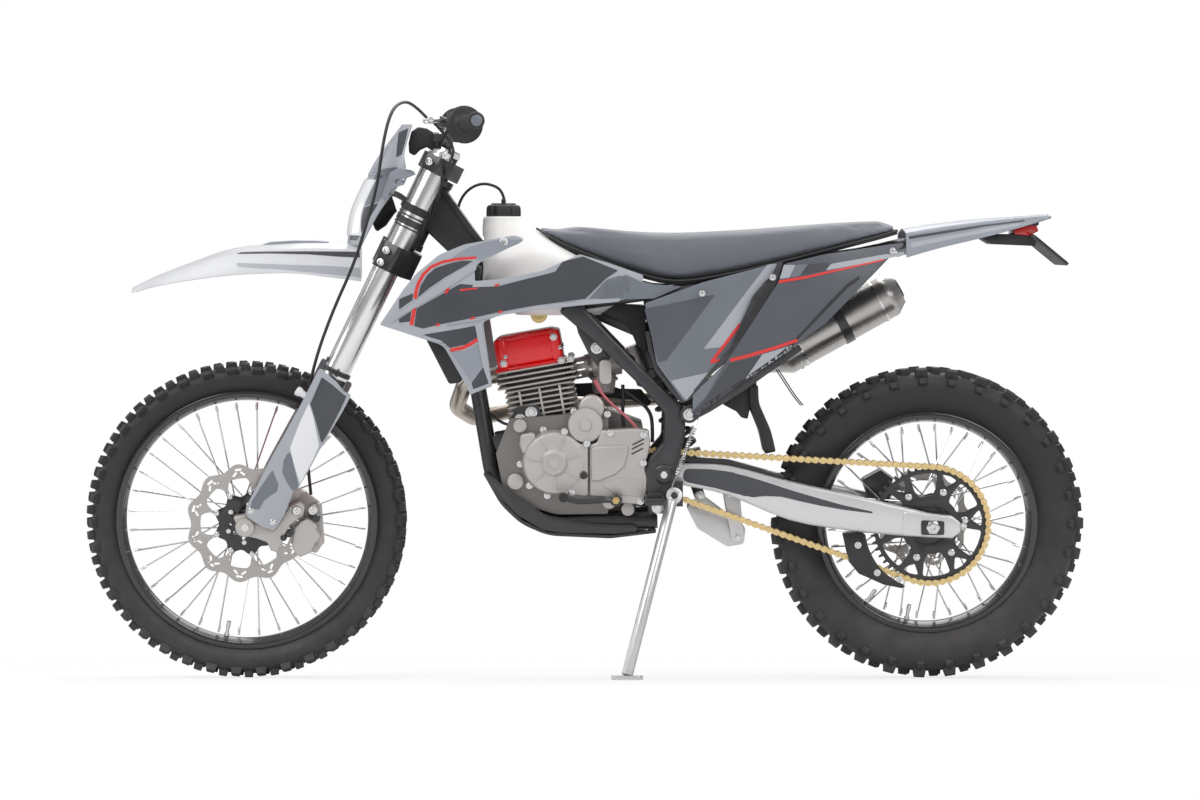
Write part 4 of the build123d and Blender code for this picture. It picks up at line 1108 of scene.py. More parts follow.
def makeHubs():
    for name, spec in hubs.items():
        outline = spec["outline"]
        body = ringMesh(outline + [(outline[-1][0], spec["bore"]), (outline[0][0], spec["bore"])], 72)
        bossLow, bossHigh, bossR = spec["boss"]
        boss = ringMesh([(bossLow, spec["bore"] + 4), (bossLow, bossR - 2), (bossLow + 2, bossR),
            (bossHigh, bossR + 4), (bossHigh, spec["bore"] + 4)], 48)
        rib = boxMesh((0, -22, -1.6), (9, 22, 1.6), 0.7)
        ribs = ringed(rib, hubBlack, hubRibs, spec["barrel"] - 3)
        if name == "rear_hub":
            carrier = ringMesh([(69, 12), (69, 46), (71.8, 48), (72.2, 12)], 48)
            body = merged(body, carrier)
        makePiece(name.replace("_h", "H"), merged(body, boss, ribs), hubBlack, [name], body=spec["body"])


sprocket = {
    "teeth": 50, "pitch": 15.875, "y": -72, "thick": 5.2, "boltCircle": 76, "bolts": 6, "phase": radians(8),
}


def toothedLoop(teeth, tip, root):
    half = [(0.34, root), (0.2, root + 0.6), (0.12, tip - 1.2), (0.05, tip)]
    tooth = [(-share, radius) for share, radius in half] + half[::-1]
    return [polar(radius, 2 * pi * (k + 0.5 + share) / teeth) for k in range(teeth) for share,
        radius in tooth]


def makeSprocket():
    s = sprocket
    pitchRadius = s["teeth"] * s["pitch"] / (2 * pi)
    outer = toothedLoop(s["teeth"], pitchRadius + 4.5, pitchRadius - 4.5)
    ringInner = pitchRadius - 14
    windows = []
    for k in range(s["bolts"]):
        a = s["phase"] + 2 * pi * k / s["bolts"]
        half = pi / s["bolts"]
        # the narrow window outward of each bolt
        windows.append(roundedOutline([polar(s["boltCircle"] + 13, a), polar(ringInner, a - 0.17),
            polar(ringInner + 1.5, a), polar(ringInner, a + 0.17)], 4, 3))
        # the wide window between two bolts, curved inside and out
        far, near = 0.25, 0.23
        wide = [polar(64, a + half + d) for d in (0.22, 0.0, -0.22)]
        wide += [polar(s["boltCircle"] + 4, a + near), polar(ringInner, a + far)]
        wide += [polar(ringInner, a + half + d) for d in (-0.14, 0.0, 0.14)]
        wide += [polar(ringInner, a + 2 * half - far), polar(s["boltCircle"] + 4, a + 2 * half - near)]
        windows.append(roundedOutline(wide, 6, 3))
    plate = plateMesh([outer, circleOutline(0, 0, 41, 48)] + windows, s["y"] - s["thick"] / 2, s["y"]
        + s["thick"] / 2)
    makePiece("rearSprocket", shaped(plate, softEdges(0.5, 2)), satinBlack, ["rear_sprocket"],
        body="rear_wheel")
    bolt = lathedAcross(0, 0, -7, 6, [(0, 2.6), (1.8, 2.8), (1.9, 6.4), (2.8, 7.6), (5, 7.6), (13, 7.6)],
        18)
    makePiece("sprocketBolts", ringed(bolt, brightSteel, s["bolts"], s["boltCircle"], s["y"], s["phase"]),
        brightSteel, body="rear_wheel")


makeTyres()
makeRims()
makeSpokes()
makeDiscs()
makeHubs()
makeSprocket()
print("wheels made")

# chain

chainRun = {
    "front": (838, 474), "frontTeeth": 13, "y": -72, "plate": 7.2, "waist": 5.0,
}


def linkPlate(half, radius, waist, yLow, yHigh):
    # figure-of-eight side plate about the middle of a link
    loop = []
    for end in (-1, 1):
        for k in range(7):
            angle = (-0.36 + 0.12 * k * 2) * pi * 0.86
            loop.append(Vector((end * (half + radius * cos(angle)), end * radius * sin(angle))))
        loop.append(Vector((0, end * waist)))
    return plateMesh([loop], yLow, yHigh)


def chainPath():
    pitch = sprocket["pitch"]
    frontR = chainRun["frontTeeth"] * pitch / (2 * pi)
    rearR = sprocket["teeth"] * pitch / (2 * pi)
    fx, fz = chainRun["front"]
    gap = Vector((stance["wheelbase"] - fx, stance["rearAxleHeight"] - fz))
    slope = atan2(gap.y, gap.x)
    spread = atan2(rearR - frontR, sqrt(gap.length**2 - (rearR - frontR) ** 2))
    points = []
    turnRear, turnFront = pi + 2 * spread, pi - 2 * spread
    for k in range(41):
        a = slope - pi / 2 - spread + turnRear * k / 40
        points.append((stance["wheelbase"] + rearR * cos(a), chainRun["y"], stance["rearAxleHeight"]
            + rearR * sin(a)))
    for k in range(15):
        a = slope + pi / 2 + spread + turnFront * k / 14
        points.append((fx + frontR * cos(a), chainRun["y"], fz + frontR * sin(a)))
    return points


def makeChain():
    points = chainPath()
    total = sum((Vector(points[k]) - Vector(points[k - 1])).length for k in range(len(points)))
    count = 2 * round(total / sprocket["pitch"] / 2)
    data = bpy.data.curves.new("chainLine", "CURVE")
    data.dimensions = "3D"
    line = data.splines.new("POLY")
    line.points.add(len(points) - 1)
    for point, place in zip(line.points, points):
        point.co = (*place, 1)
    line.use_cyclic_u = True
    half = sprocket["pitch"] / 2
    pin = latheMesh((half, -9.2, 0), (half, 9.2, 0), [(0, 1.6), (0.6, 2.5), (17.8, 2.5), (18.4, 1.6)], 10)
    roller = latheMesh((half, -3.6, 0), (half, 3.6, 0), [(0, 4.6), (0.5, 5), (6.7, 5), (7.2, 4.6)], 12)
    parts = []
    for lows, axle in (((-8, 6.3), pin), ((-5.9, 4.1), roller)):
        thick = 1.7 if axle is pin else 1.8
        plates = [linkPlate(half, chainRun["plate"], chainRun["waist"], low, low + thick) for low in lows]
        parts.append(partObject(merged(*plates, axle, moved(axle, Matrix.Translation((-2 * half, 0, 0))))))
    holder = inScene("chainLine", data)
    modifier = treeModifier(holder, pathTree, {"Part": parts[0], "Other Part": parts[1],
        "Finish": chainGold, "Count": count})
    links = evaluatedMesh(holder, bpy.context.evaluated_depsgraph_get())
    holder.modifiers.remove(modifier)
    for obj in parts + [holder]:
        bpy.data.objects.remove(obj)
    makePiece("driveChain", links, chainGold, ["chain"])
    print("chain links:", count)


def evaluatedMesh(holder, graph):
    # a curve's tree result comes as instances of the evaluated geometry
    for instance in graph.object_instances:
        if instance.parent and instance.parent.original == holder and instance.object.type == "MESH":
            mesh = bpy.data.meshes.new_from_object(instance.object)
            mesh.transform(instance.matrix_world)
            return mesh
    return bpy.data.meshes.new_from_object(holder.evaluated_get(graph))


makeChain()

# tank, seat and body panels


def between(rows, steps):
    # rows of a table filled in along a smooth line through them
    made = []
    table = np.array(rows, float)
    for k in range(len(table) - 1):
        before, after = table[max(k - 1, 0)], table[min(k + 2, len(table) - 1)]
        here, ahead = table[k], table[k + 1]
        for n in range(steps):
            t = n / steps
            made.append(0.5 * (2 * here + (ahead - before) * t
                + (2 * before - 5 * here + 4 * ahead - after) * t * t
                + (3 * here - before - 3 * ahead + after) * t ** 3))
    return made + [table[-1]]


def ribbon(points, width, taper=1.0):
    # outline of a band along an open line; taper is the end's width against the start's
    line = [Vector(p) for p in points]
    left, right = [], []
    for k, p in enumerate(line):
        run = (line[min(k + 1, len(line) - 1)] - line[max(k - 1, 0)]).normalized()
        half = width / 2 * (1 + (taper - 1) * k / (len(line) - 1))
        side = Vector((-run.y, run.x)) * half
        left.append(p + side)
        right.append(p - side)
    return left + list(reversed(right))


def ballSurface(centre, slopeX, slopeZ, radius):
    # shallow dome through centre, leaning by the two slopes
    def surface(x, z):
        dx, dz = x - centre[0], z - centre[2]
        return centre[1] + slopeX * dx + slopeZ * dz + (dx * dx + dz * dz) / (2 * radius)
    return surface


shroudSurface = ballSurface((590, -166, 860), 0.11, 0.12, 3000)
sideSurface = ballSurface((1000, -142, 770), 0, 0.08, 1300)
tailSurface = ballSurface((1210, -142, 830), 0.1, 0.1, 1300)


def outerFace(body, piece):
    # the left side of a finished piece, as y at x and z
    work = bmesh.new()
    work.from_mesh(piece.data)
    work.transform(spaces[body].inverted())
    tree = BVHTree.FromBMesh(work)
    work.free()

    def surface(x, z):
        place = tree.ray_cast(Vector((x, -500, z)), Vector((0, 1, 0)))[0]
        return (place or tree.find_nearest(Vector((x, -90, z)))[0]).y
    return surface


def walledPanel(name, outline, surface, thickness, material, replaced=(), body="chassis",
        round=6, gap=9, edge=1.4, cut=None):
    # walled curved panel with rounded edges, left and right
    skin = skinMesh([roundedOutline(outline, round)], surface, gap)
    wall = shaped(skin, walled(thickness), softEdges(edge, 3, 50))
    return makePiece(name, withMirror(wall, cut), material, replaced, body, 50)


def printAndShadeFilm(name, outlines, surface, material, lift=0.45, body="chassis", gap=9, round=1.5,
        cut=None):
    # thin film laid on a panel's face, left and right: printed graphics, and on the fenders painted shade
    films = []
    for outline in outlines:
        skin = skinMesh([roundedOutline(outline, round, 3)], lambda x, z: surface(x, z) - lift, gap)
        films.append(shaped(skin, walled(lift + 0.6)))
    return makePiece(name, withMirror(merged(*films), cut), material, (), body, 50)


shroud = {
    "outline": [
        (306, 780, 3), (357, 856, 40), (383, 888, 20), (431, 928, 60), (485, 950, 60), (547, 961, 40),
        (590, 969, 30), (614, 961, 6), (518, 912, 12), (506, 900, 8), (507, 872, 3), (557, 876, 20),
        (648, 893, 40), (700, 916, 20), (728, 929, 14), (787, 911, 40), (864, 884, 4), (864, 842, 14),
        (812, 830, 40), (721, 829, 40), (634, 819, 40), (552, 797, 20), (524, 786, 8), (544, 650, 6),
        (499, 633, 6), (441, 736, 30), (328, 773, 20),
    ],
    "ridges": [
        [(329, 783), (347, 796), (418, 837), (509, 896), (513, 915), (466, 890), (407, 849), (347, 804),
        (329, 789)],
        [(427, 775), (501, 787), (573, 802), (632, 810), (718, 819), (814, 828), (814, 835), (742, 831),
        (632, 818), (555, 803), (501, 791)],
        [(507, 781), (521, 783), (543, 652), (498, 632), (445, 740), (401, 749), (398, 757), (436, 746),
        (451, 730), (499, 642), (537, 655), (524, 692)],
    ],
    "cool": [
        [(454, 919), (490, 942), (531, 955), (567, 961), (610, 959), (599, 951), (561, 935), (516, 915),
        (507, 921), (475, 923)],
        [(457, 722), (486, 725), (515, 741), (524, 693), (499, 659)],
    ],
    "slate": [
        [(386, 837), (392, 862), (407, 886), (424, 900), (451, 909), (478, 915), (503, 915), (487, 905),
        (445, 881), (410, 857)],
        [(347, 834), (377, 847), (375, 832), (347, 812)],
        [(347, 792), (373, 809), (370, 787), (347, 784)],
        [(384, 814), (445, 849), (475, 866), (504, 864), (500, 859), (555, 861), (614, 876), (659, 887),
        (677, 892), (692, 913), (736, 924), (811, 894), (784, 876), (754, 846), (741, 834), (632, 820),
        (555, 806), (501, 794), (430, 780), (398, 772), (379, 777)],
        [(397, 759), (478, 772), (509, 778), (513, 753), (487, 738), (454, 731), (436, 747)],
        [(525, 691), (536, 656), (504, 643), (500, 657)],
    ],
    "mid": [
        [(774, 863), (782, 870), (828, 885), (856, 872), (888, 864), (949, 860), (888, 834), (835, 833),
        (771, 834), (760, 840)],
        [(747, 834), (759, 846), (787, 875), (813, 883), (835, 878), (835, 840), (814, 837)],
    ],
    "red": [
        ([(373, 779), (377, 799), (380, 820)], 7.6, 1.0),
        ([(381, 835), (383, 852), (388, 868), (398, 886), (414, 902), (439, 913), (472, 919), (510, 922)],
        7.4, 0.7),
        ([(455, 726), (481, 731), (500, 740), (514, 750)], 7.2, 1.0),
        ([(444, 846), (452, 857)], 5.5, 1.0),
        ([(475, 853), (513, 857)], 4.5, 0.6),
        ([(549, 862), (558, 865)], 4.5, 1.0),
        ([(425, 779), (433, 781)], 5.0, 1.0),
        ([(497, 792), (507, 795)], 5.0, 1.0),
        ([(556, 806), (565, 808)], 4.5, 1.0),
    ],
    "screw": (567, 955),
}


def makeShrouds():
    surface = shroudSurface
    walledPanel("shroudPanels", shroud["outline"], surface, 4, paleGrey, ["shrouds"])
    ridges = []
    for outline in shroud["ridges"]:
        skin = skinMesh([roundedOutline(outline, 3, 3)], lambda x, z: surface(x, z) - 2.4, 9)
        ridges.append(shaped(skin, walled(3.4), softEdges(1.6, 3, 50)))
    makePiece("shroudRidges", withMirror(merged(*ridges)), paleGrey, smoothAngle=50)
    printAndShadeFilm("shroudCool", shroud["cool"], surface, coolGrey)
    printAndShadeFilm("shroudSlate", shroud["slate"], surface, slateGrey)
    printAndShadeFilm("shroudMid", shroud["mid"], surface, midGrey, 0.6)
    red = [ribbon(points, width, taper) for points, width, taper in shroud["red"]]
    printAndShadeFilm("shroudStripes", red, surface, redStripe, 0.9, gap=6)
    x, z = shroud["screw"]
    y = surface(x, z)
    ringPart = lathedAcross(x, z, y + 1, y - 1.2, [(0, 5), (0.1, 9.5), (1.6, 9.2), (2.2, 7.4)], 32)
    screw = lathedAcross(x, z, y, y - 3, [(0, 5), (2.2, 5.6), (3, 4.6), (2.9, 2.6), (1.4, 2.2)], 20)
    makePiece("shroudWashers", withMirror(ringPart), whitePlastic)
    makePiece("shroudScrews", withMirror(screw), brightSteel)


scoop = {
    "outer": [
        (400, 846, 10), (446, 905, 10), (520, 905, 10), (476, 655, 10), (450, 652, 8), (402, 746, 14),
    ],
    "duct": [(448, 866, 8), (466, 905, 8), (520, 905, 8), (488, 720, 8), (440, 720, 8)],
}


def makeScoops():
    wall = slab(scoop["outer"], -152, -130, 5, segments=4)
    duct = slab(scoop["duct"], -131, -84, 3)
    vent = boxMesh((-3, -2, -26), (3, 2, 26), 1.2)
    slats = []
    for n in range(4):
        place = Matrix.Translation((448 + 9 * n, -152.6, 762 + 22 * n)) @ Matrix.Rotation(radians(-28), 4, "Y")
        slats.append(moved(vent, place))
    makePiece("scoopShells", withMirror(merged(wall, duct, *slats)), mouldedBlack, ["scoops"],
        smoothAngle=50)


exhaustRoom = latheMesh((1010, 150, 626), (1470, 152, 868), [(0, 34), (110, 36), (150, 60), (520, 60)], 32)

sidePanel = {
    "outline": [
        (868, 824, 5), (992, 869, 60), (1147, 909, 5), (1138, 868, 8), (1074, 782, 30), (1052, 725, 10),
        (952, 614, 4), (894, 693, 30),
    ],
    "slate": [
        [(867, 812), (1018, 843), (913, 702), (896, 698)],
        [(1071, 771), (1054, 728), (1029, 707), (1020, 709), (1040, 738)],
    ],
    "pale": [
        [(1130, 906), (1151, 909), (1140, 883), (1125, 867), (1100, 840), (1083, 804), (1071, 781),
        (1033, 731), (993, 727), (1092, 858)],
        [(923, 659), (1008, 678), (956, 617)],
    ],
    "red": [([(1071, 780), (1041, 740), (1010, 700)], 6.4, 1.0), ([(1008, 698), (1027, 704)], 5.8, 1.0)],
}

tailPanel = {
    "outline": [
        (1168, 909, 4), (1250, 928, 60), (1397, 950, 40), (1431, 953, 4), (1397, 925, 60), (1252, 780, 60),
        (1079, 661, 60), (982, 585, 5), (965, 592, 3), (1066, 737, 20), (1150, 866, 10),
    ],
    "pale": [
        [(1164, 906), (1189, 906), (1176, 879), (1155, 876)],
        [(1266, 908), (1324, 918), (1375, 927), (1426, 934), (1426, 927), (1327, 907), (1254, 894)],
        [(1118, 716), (1184, 736), (1154, 709), (1080, 661)],
    ],
    "mid": [
        [(1190, 906), (1216, 908), (1197, 882), (1177, 879)],
        [(970, 628), (991, 650), (1019, 678), (1040, 699), (998, 625), (970, 596)],
    ],
    "slate": [
        [(1217, 908), (1264, 910), (1252, 894), (1198, 883)],
        [(1049, 697), (1116, 713), (1078, 660), (1019, 614), (980, 589), (970, 589), (998, 621)],
    ],
    "red": [
        ([(1153, 870), (1213, 880), (1267, 892), (1327, 905), (1382, 917)], 6.4, 0.5),
        ([(1049, 703), (1089, 713), (1146, 730), (1193, 746)], 7.4, 0.9),
    ],
    "black": [
        [(1327, 875), (1302, 857), (1267, 822), (1192, 746), (1184, 734), (1153, 708), (1080, 658),
        (1033, 621), (984, 586), (998, 611), (1083, 667), (1151, 715), (1181, 741), (1263, 829),
        (1299, 865), (1327, 883)],
    ],
}
panelGap = [
    (1152, 913), (1163, 912), (1148, 868), (1119, 810), (1107, 773), (1058, 720), (1005, 667), (963, 618),
    (948, 610), (1005, 678), (1054, 731), (1072, 782), (1098, 840), (1124, 871), (1141, 885),
]


panelEdges = {
    "tail": [(970, 581), (1004, 599), (1039, 621), (1081, 648), (1123, 678), (1161, 704), (1200, 731)],
    "side": [(873, 764), (880, 725), (892, 685), (921, 646), (950, 613)],
}


def makeSidePanels():
    walledPanel("sidePanelShells", sidePanel["outline"], sideSurface, 4, midGrey, ["side_panels"],
        cut=exhaustRoom)
    printAndShadeFilm("sidePanelSlate", sidePanel["slate"], sideSurface, ironGrey, cut=exhaustRoom)
    printAndShadeFilm("sidePanelPale", sidePanel["pale"], sideSurface, paleGrey, cut=exhaustRoom)
    red = [ribbon(*row) for row in sidePanel["red"]]
    printAndShadeFilm("sidePanelStripes", red, sideSurface, redStripe, 0.8, gap=6, cut=exhaustRoom)
    walledPanel("tailPanelShells", tailPanel["outline"], tailSurface, 4, ironGrey, ["tail_panels"],
        cut=exhaustRoom)
    for part, material in (("pale", paleGrey), ("mid", midGrey), ("slate", slateGrey),
            ("black", mouldedBlack)):
        printAndShadeFilm("tailPanel" + part.title(), tailPanel[part], tailSurface, material, cut=exhaustRoom)
    red = [ribbon(*row) for row in tailPanel["red"]]
    printAndShadeFilm("tailPanelStripes", red, tailSurface, redStripe, 0.8, gap=6, cut=exhaustRoom)
    walledPanel("panelGapStrips", panelGap, lambda x, z: tailSurface(x, z) + 3, 4, satinBlack,
        cut=exhaustRoom)
    walledPanel("tailPanelEdges", ribbon(panelEdges["tail"], 14), lambda x, z: tailSurface(x, z) + 1, 5,
        satinBlack, round=2, cut=exhaustRoom)
    walledPanel("sidePanelEdges", ribbon(panelEdges["side"], 9), lambda x, z: sideSurface(x, z) + 1, 5,
        satinBlack, round=2, cut=exhaustRoom)


makeShrouds()
makeScoops()
makeSidePanels()
print("panels made")

# height, middle x, length, width, how square the section is
tankRows = [
    (797, 686, 196, 158, 2.6), (803, 686, 210, 172, 2.8), (822, 686, 262, 196, 3),
    (845, 691, 322, 232, 3.2), (868, 690, 346, 242, 3.2), (895, 660, 284, 232, 3),
    (925, 624, 216, 214, 2.8), (955, 598, 160, 166, 2.5), (980, 578, 124, 126, 2.2), (998, 566, 98, 98, 2),
    (1006, 562, 88, 88, 2), (1010, 562, 80, 80, 2),
]

cap = {
    "x": 562, "z": 1008, "radius": 36, "swell": 1.6, "lobes": 10,
    # height, share of the radius
    "rows": [(0, 1.0), (14, 1.0), (22, 0.98), (26, 0.9), (27.5, 0.78), (26, 0.7), (25, 0.5), (25, 0.02)],
}


def makeTank():
    rings = []
    for z, middle, length, width, power in between(tankRows, 3):
        ring = []
        for k in range(72):
            a = 2 * pi * k / 72
            c, s = cos(a), sin(a)
            ring.append((middle + length / 2 * abs(c) ** (2 / power) * (1 if c > 0 else -1),
                width / 2 * abs(s) ** (2 / power) * (1 if s > 0 else -1), z))
        rings.append(ring)
    outline = [(490, 770), (490, 978), (520, 966), (668, 878), (745, 850), (745, 770)]
    tunnel = plateMesh([[Vector(p) for p in outline]], -28, 28)
    makePiece("tankShell", cutAway(loftMesh(rings), tunnel), tankWhite, ["tank"], smoothAngle=40)
    # lobed cap with a raised grip and a vent
    x, z, steps = cap["x"], cap["z"], 120
    turns = [2 * pi * k / steps for k in range(steps)]
    loop = [cap["radius"] + cap["swell"] * cos(cap["lobes"] * a) for a in turns]
    rows = [[(x + r * share * cos(a), r * share * sin(a), z + height) for a, r in zip(turns, loop)]
        for height, share in cap["rows"]]
    grip = boxMesh((x - 27, -7, z + 22), (x + 27, 7, z + 31), 3)
    makePiece("fuelCap", merged(loftMesh(rows), grip), mouldedBlack, ["fuel_cap"], smoothAngle=35)
    makePiece("capVent", barMesh((x, 0, z + 28), (x, 0, z + 40), 5), satinBlack)


seatCloth = {
    "inset": 3.0, "voxel": 0.0055, "pressure": 4, "frames": 20, "limit": 0.006, "sag": 0.0015,
}
# x, half width, top, underside, crown
seatRows = [
    (634, 34, 992, 985, 3), (680, 56, 987, 958, 8), (745, 74, 984, 930, 10), (840, 96, 975, 893, 13),
    (930, 108, 972, 872, 14), (1020, 114, 975, 882, 14), (1120, 116, 981, 904, 14),
    (1210, 113, 988, 926, 13), (1300, 108, 994, 950, 12), (1370, 98, 997, 968, 9), (1412, 84, 998, 980, 6),
]


def seatRing(x, half, top, low, crown, inset):
    # half section repeated left and right: underside, side leaning in, crowned top
    half, top, low = half - inset, top - inset, low + inset
    waist, shoulder = half * 0.82, top - crown
    rise = shoulder - low
    side = [(-half * 0.5, low), (-half * 0.85, low), (-half * 0.99, low + rise * 0.06),
        (-half, low + rise * 0.2), (-half * 0.97, low + rise * 0.5), (-half * 0.91, low + rise * 0.8),
        (-waist, shoulder + crown * 0.22), (-waist * 0.72, top - crown * 0.32),
        (-waist * 0.4, top - crown * 0.08), (0, top)]
    return [(x, 0, low)] + [(x, y, z) for y, z in side] + [(x, -y, z) for y, z in reversed(side[:-1])]


def puffed(pad):
    # the pad blown up as cloth, with no point further out than the limit
    pad.transform(Matrix.Scale(0.001, 4))
    pad = shaped(pad, ("REMESH", {"mode": "VOXEL", "voxel_size": seatCloth["voxel"]}))
    rest = np.empty(len(pad.vertices) * 3)
    pad.vertices.foreach_get("co", rest)
    cushion = inScene("cushion", pad)
    cloth = cushion.modifiers.new("cloth", "CLOTH")
    cloth.settings.use_pressure = True
    cloth.settings.uniform_pressure_force = seatCloth["pressure"]
    cloth.settings.effector_weights.gravity = 0
    for number in range(1, seatCloth["frames"] + 1):
        bpy.context.scene.frame_set(number)
    swollen = solved(cushion)
    bpy.context.scene.frame_set(1)
    bpy.data.objects.remove(cushion)
    places = np.empty(len(rest))
    swollen.vertices.foreach_get("co", places)
    rest, places = rest.reshape(-1, 3), places.reshape(-1, 3)
    shift = places - rest
    length = np.sqrt((shift ** 2).sum(1))[:, None] + 1e-9
    capped = rest + shift * np.minimum(1, seatCloth["limit"] / length)
    # the underside stays on its pan
    floor = rest[:, 2] - seatCloth["sag"]
    capped[:, 2] = np.where(capped[:, 2] < floor, floor, capped[:, 2])
    swollen.vertices.foreach_set("co", capped.ravel())
    swollen.transform(Matrix.Scale(1000, 4))
    smooth = ("SMOOTH", {"factor": 0.5, "iterations": 4})
    return shaped(swollen, smooth, ("SUBSURF", {"levels": 1, "render_levels": 1}))


def makeSeat():
    inset = seatCloth["inset"]
    pad = loftMesh([seatRing(*row, inset) for row in between(seatRows, 6)])
    pad = puffed(pad)
    seat = makePiece("seatPad", pad, seatCover, ["seat"], smoothAngle=60)
    # piping and pan along the lower edge
    edge = [(row[0], -row[1] * 0.97, row[3] - 1) for row in between(seatRows, 2)]
    makePiece("seatPiping", withMirror(tubeMesh(edge, 2.4, 8, 4)), mouldedBlack)
    panRings = []
    for row in between(seatRows, 3)[2:]:
        panRings.append([(row[0], y * row[1], row[3] + drop) for y, drop in ((-0.93, 2), (0.93, 2),
            (0.9, -9), (-0.9, -9))])
    makePiece("seatPan", loftMesh(panRings), mouldedBlack)


makeTank()
makeSeat()
print("tank and seat made")

# fender rows are x, half width at the shoulder, top, half width at the lower edge, lower edge
frontFender = {
    "rows": [
        (-243, 10, 855, 12, 850), (-236, 26, 859, 30, 849), (-190, 52, 881, 60, 863),
        (-110, 66, 912, 82, 878), (-20, 74, 941, 95, 889), (100, 76, 952, 98, 893), (180, 72, 953, 92, 884),
        (252, 66, 952, 84, 874),
    ],
    # dark band along the groove: painted shade in the groove
    "grooveShade": [
        (-14, 936), (54, 938), (137, 938), (220, 937), (249, 936), (249, 924), (199, 927), (137, 932),
        (54, 934), (-12, 933),
    ],
    # the lower flank is painted a darker pale: painted shade on the fender's side face
    "flank": [(-14, 914), (95, 910), (178, 907), (249, 902), (250, 882), (178, 890), (95, 899), (-12, 906)],
    # a raised coolGrey strip on the crown: its darker colour is painted shade for the crown in shade
    "rib": [(31, 947), (55, 955), (103, 958), (148, 958), (183, 956), (182, 935), (103, 936), (55, 939)],
}
rearFender = {
    "rows": [
        (1430, 84, 982, 98, 922), (1500, 81, 993, 93, 942), (1600, 74, 1004, 84, 966),
        (1690, 60, 1010, 68, 990), (1738, 48, 1014, 54, 1006), (1746, 40, 1014, 44, 1011),
    ],
}


def fenderRing(x, halfTop, top, halfLow, low):
    shoulder = top - max(4, (top - low) * 0.18)
    crown = top - shoulder
    side = [(-halfLow, low), (-halfLow * 0.6 - halfTop * 0.4, low * 0.6 + shoulder * 0.4),
        (-halfTop - 1, shoulder - 2), (-halfTop + 3, shoulder + crown * 0.25),
        (-halfTop * 0.72, shoulder + crown * 0.58), (-halfTop * 0.4, shoulder + crown * 0.9),
        (-halfTop * 0.16, top + 1.2)]
    return [(x, y, z) for y, z in side] + [(x, -y, z) for y, z in reversed(side)]


def makeFender(name, rows, skin, material, node, body="chassis"):
    mesh = loftMesh([fenderRing(*row) for row in between(rows, 5)], closeEnds=False, loop=False)
    if sum(f.normal.z for f in mesh.polygons) < 0:
        mesh.flip_normals()
    return makePiece(name, shaped(mesh, walled(skin), softEdges(1.2, 2, 50)), material, [node], body,
        26)


def makeFenders():
    front = makeFender("frontFenderShell", frontFender["rows"], 3, fenderPale, "front_fender", "steering")
    rear = makeFender("rearFenderShell", rearFender["rows"], 4, coolGrey, "rear_fender")
    flank = outerFace("steering", front)
    # painted shade along the front fender's groove
    printAndShadeFilm("frontFenderGroove", [frontFender["grooveShade"]], flank, slateGrey, 0.8, body="steering")
    # darker pale band on the lower flank: painted shade on the side face
    printAndShadeFilm("frontFenderFlank", [frontFender["flank"]], flank, paleGrey, 0.5, body="steering")
    # coolGrey strip on the crown: painted shade for the crown seen in shade over the near edge
    rib = slab(frontFender["rib"], -15, 15, 1.6, round=4, angle=40)
    makePiece("frontFenderRib", rib, coolGrey, body="steering")
    flank = outerFace("chassis", rear)
    # painted shade along the rear fender's groove
    grooveShade = [(x, np.interp(x, [1430, 1500, 1600, 1690], [963, 974, 990, 1001]))
        for x in range(1436, 1690, 18)]
    printAndShadeFilm("rearFenderGroove", [ribbon(grooveShade, 6, 0.5)], flank, slateGrey, 0.7, gap=6)
    lower = [(x, np.interp(x, [1430, 1500, 1600, 1690], [945, 960, 979, 995]))
        for x in range(1440, 1680, 18)]
    printAndShadeFilm("rearFenderLower", [ribbon(lower, 11, 0.5)], flank, paleGrey, 0.5, gap=6)


def makeTail():
    smoothedNode("tailLampLens", "tail_lamp", 2.5, lampRed)
    smoothedNode("plateHolder", "plate_holder", 1.6, mouldedBlack)
    makePiece("tailLampHood", boxMesh((1664, -45, 990), (1722, 45, 1003), 3), mouldedBlack)


makeFenders()
makeTail()
print("fenders and tail made")

# fork, mask and bars

fork = {
    "spread": 103.0, "ahead": 24.0,
}


def forkLathe(profile, sides=40):
    start, end = forkPoint(0, fork["ahead"], -fork["spread"]), forkPoint(1, fork["ahead"], -fork["spread"])
    return latheMesh(start, end, profile, sides)


def makeFork():
    tube = [(330, 20), (330, 25.6), (332, 26.5), (869, 26.5), (872, 25.5), (873, 22), (876, 21.5), (876, 8)]
    makePiece("forkTubes", withMirror(forkLathe(tube, 64)), forkSilver, ["fork_tubes"], body="steering")
    sleeve = [(58, 20), (60, 21.8), (328, 21.8), (330, 20)]
    makePiece("forkSleeves", withMirror(forkLathe(sleeve, 48)), redStripe, body="steering")
    seal = [(322, 21.6), (323, 27), (330, 28.6), (342, 28.6), (346, 26.4)]
    makePiece("forkSeals", withMirror(forkLathe(seal, 48)), satinBlack, body="steering")
    bands = [[(low, 26.4), (low + 0.4, 28.4), (high - 0.4, 28.4), (high, 26.4)] for low,
        high in ((700, 704), (707, 722), (725, 729))]
    makePiece("forkBands", withMirror(merged(*[forkLathe(b, 48) for b in bands])), satinBlack,
        body="steering")
    cap = [(872, 21), (873, 22.8), (880, 22.8), (881, 16), (883, 15.5), (884, 9)]
    makePiece("forkCaps", withMirror(forkLathe(cap, 32)), polishedAlloy, body="steering")
    hexes = forkLathe([(882, 8.8), (883, 9.4), (889, 9.4), (890, 8.6)], 6)
    makePiece("forkCapNuts", withMirror(hexes), brightSteel, body="steering")
    strap = [(735, 26.4), (735.6, 31), (752, 31), (752.6, 26.4)]
    makePiece("maskStraps", withMirror(forkLathe(strap, 48)), softRubber, body="steering")


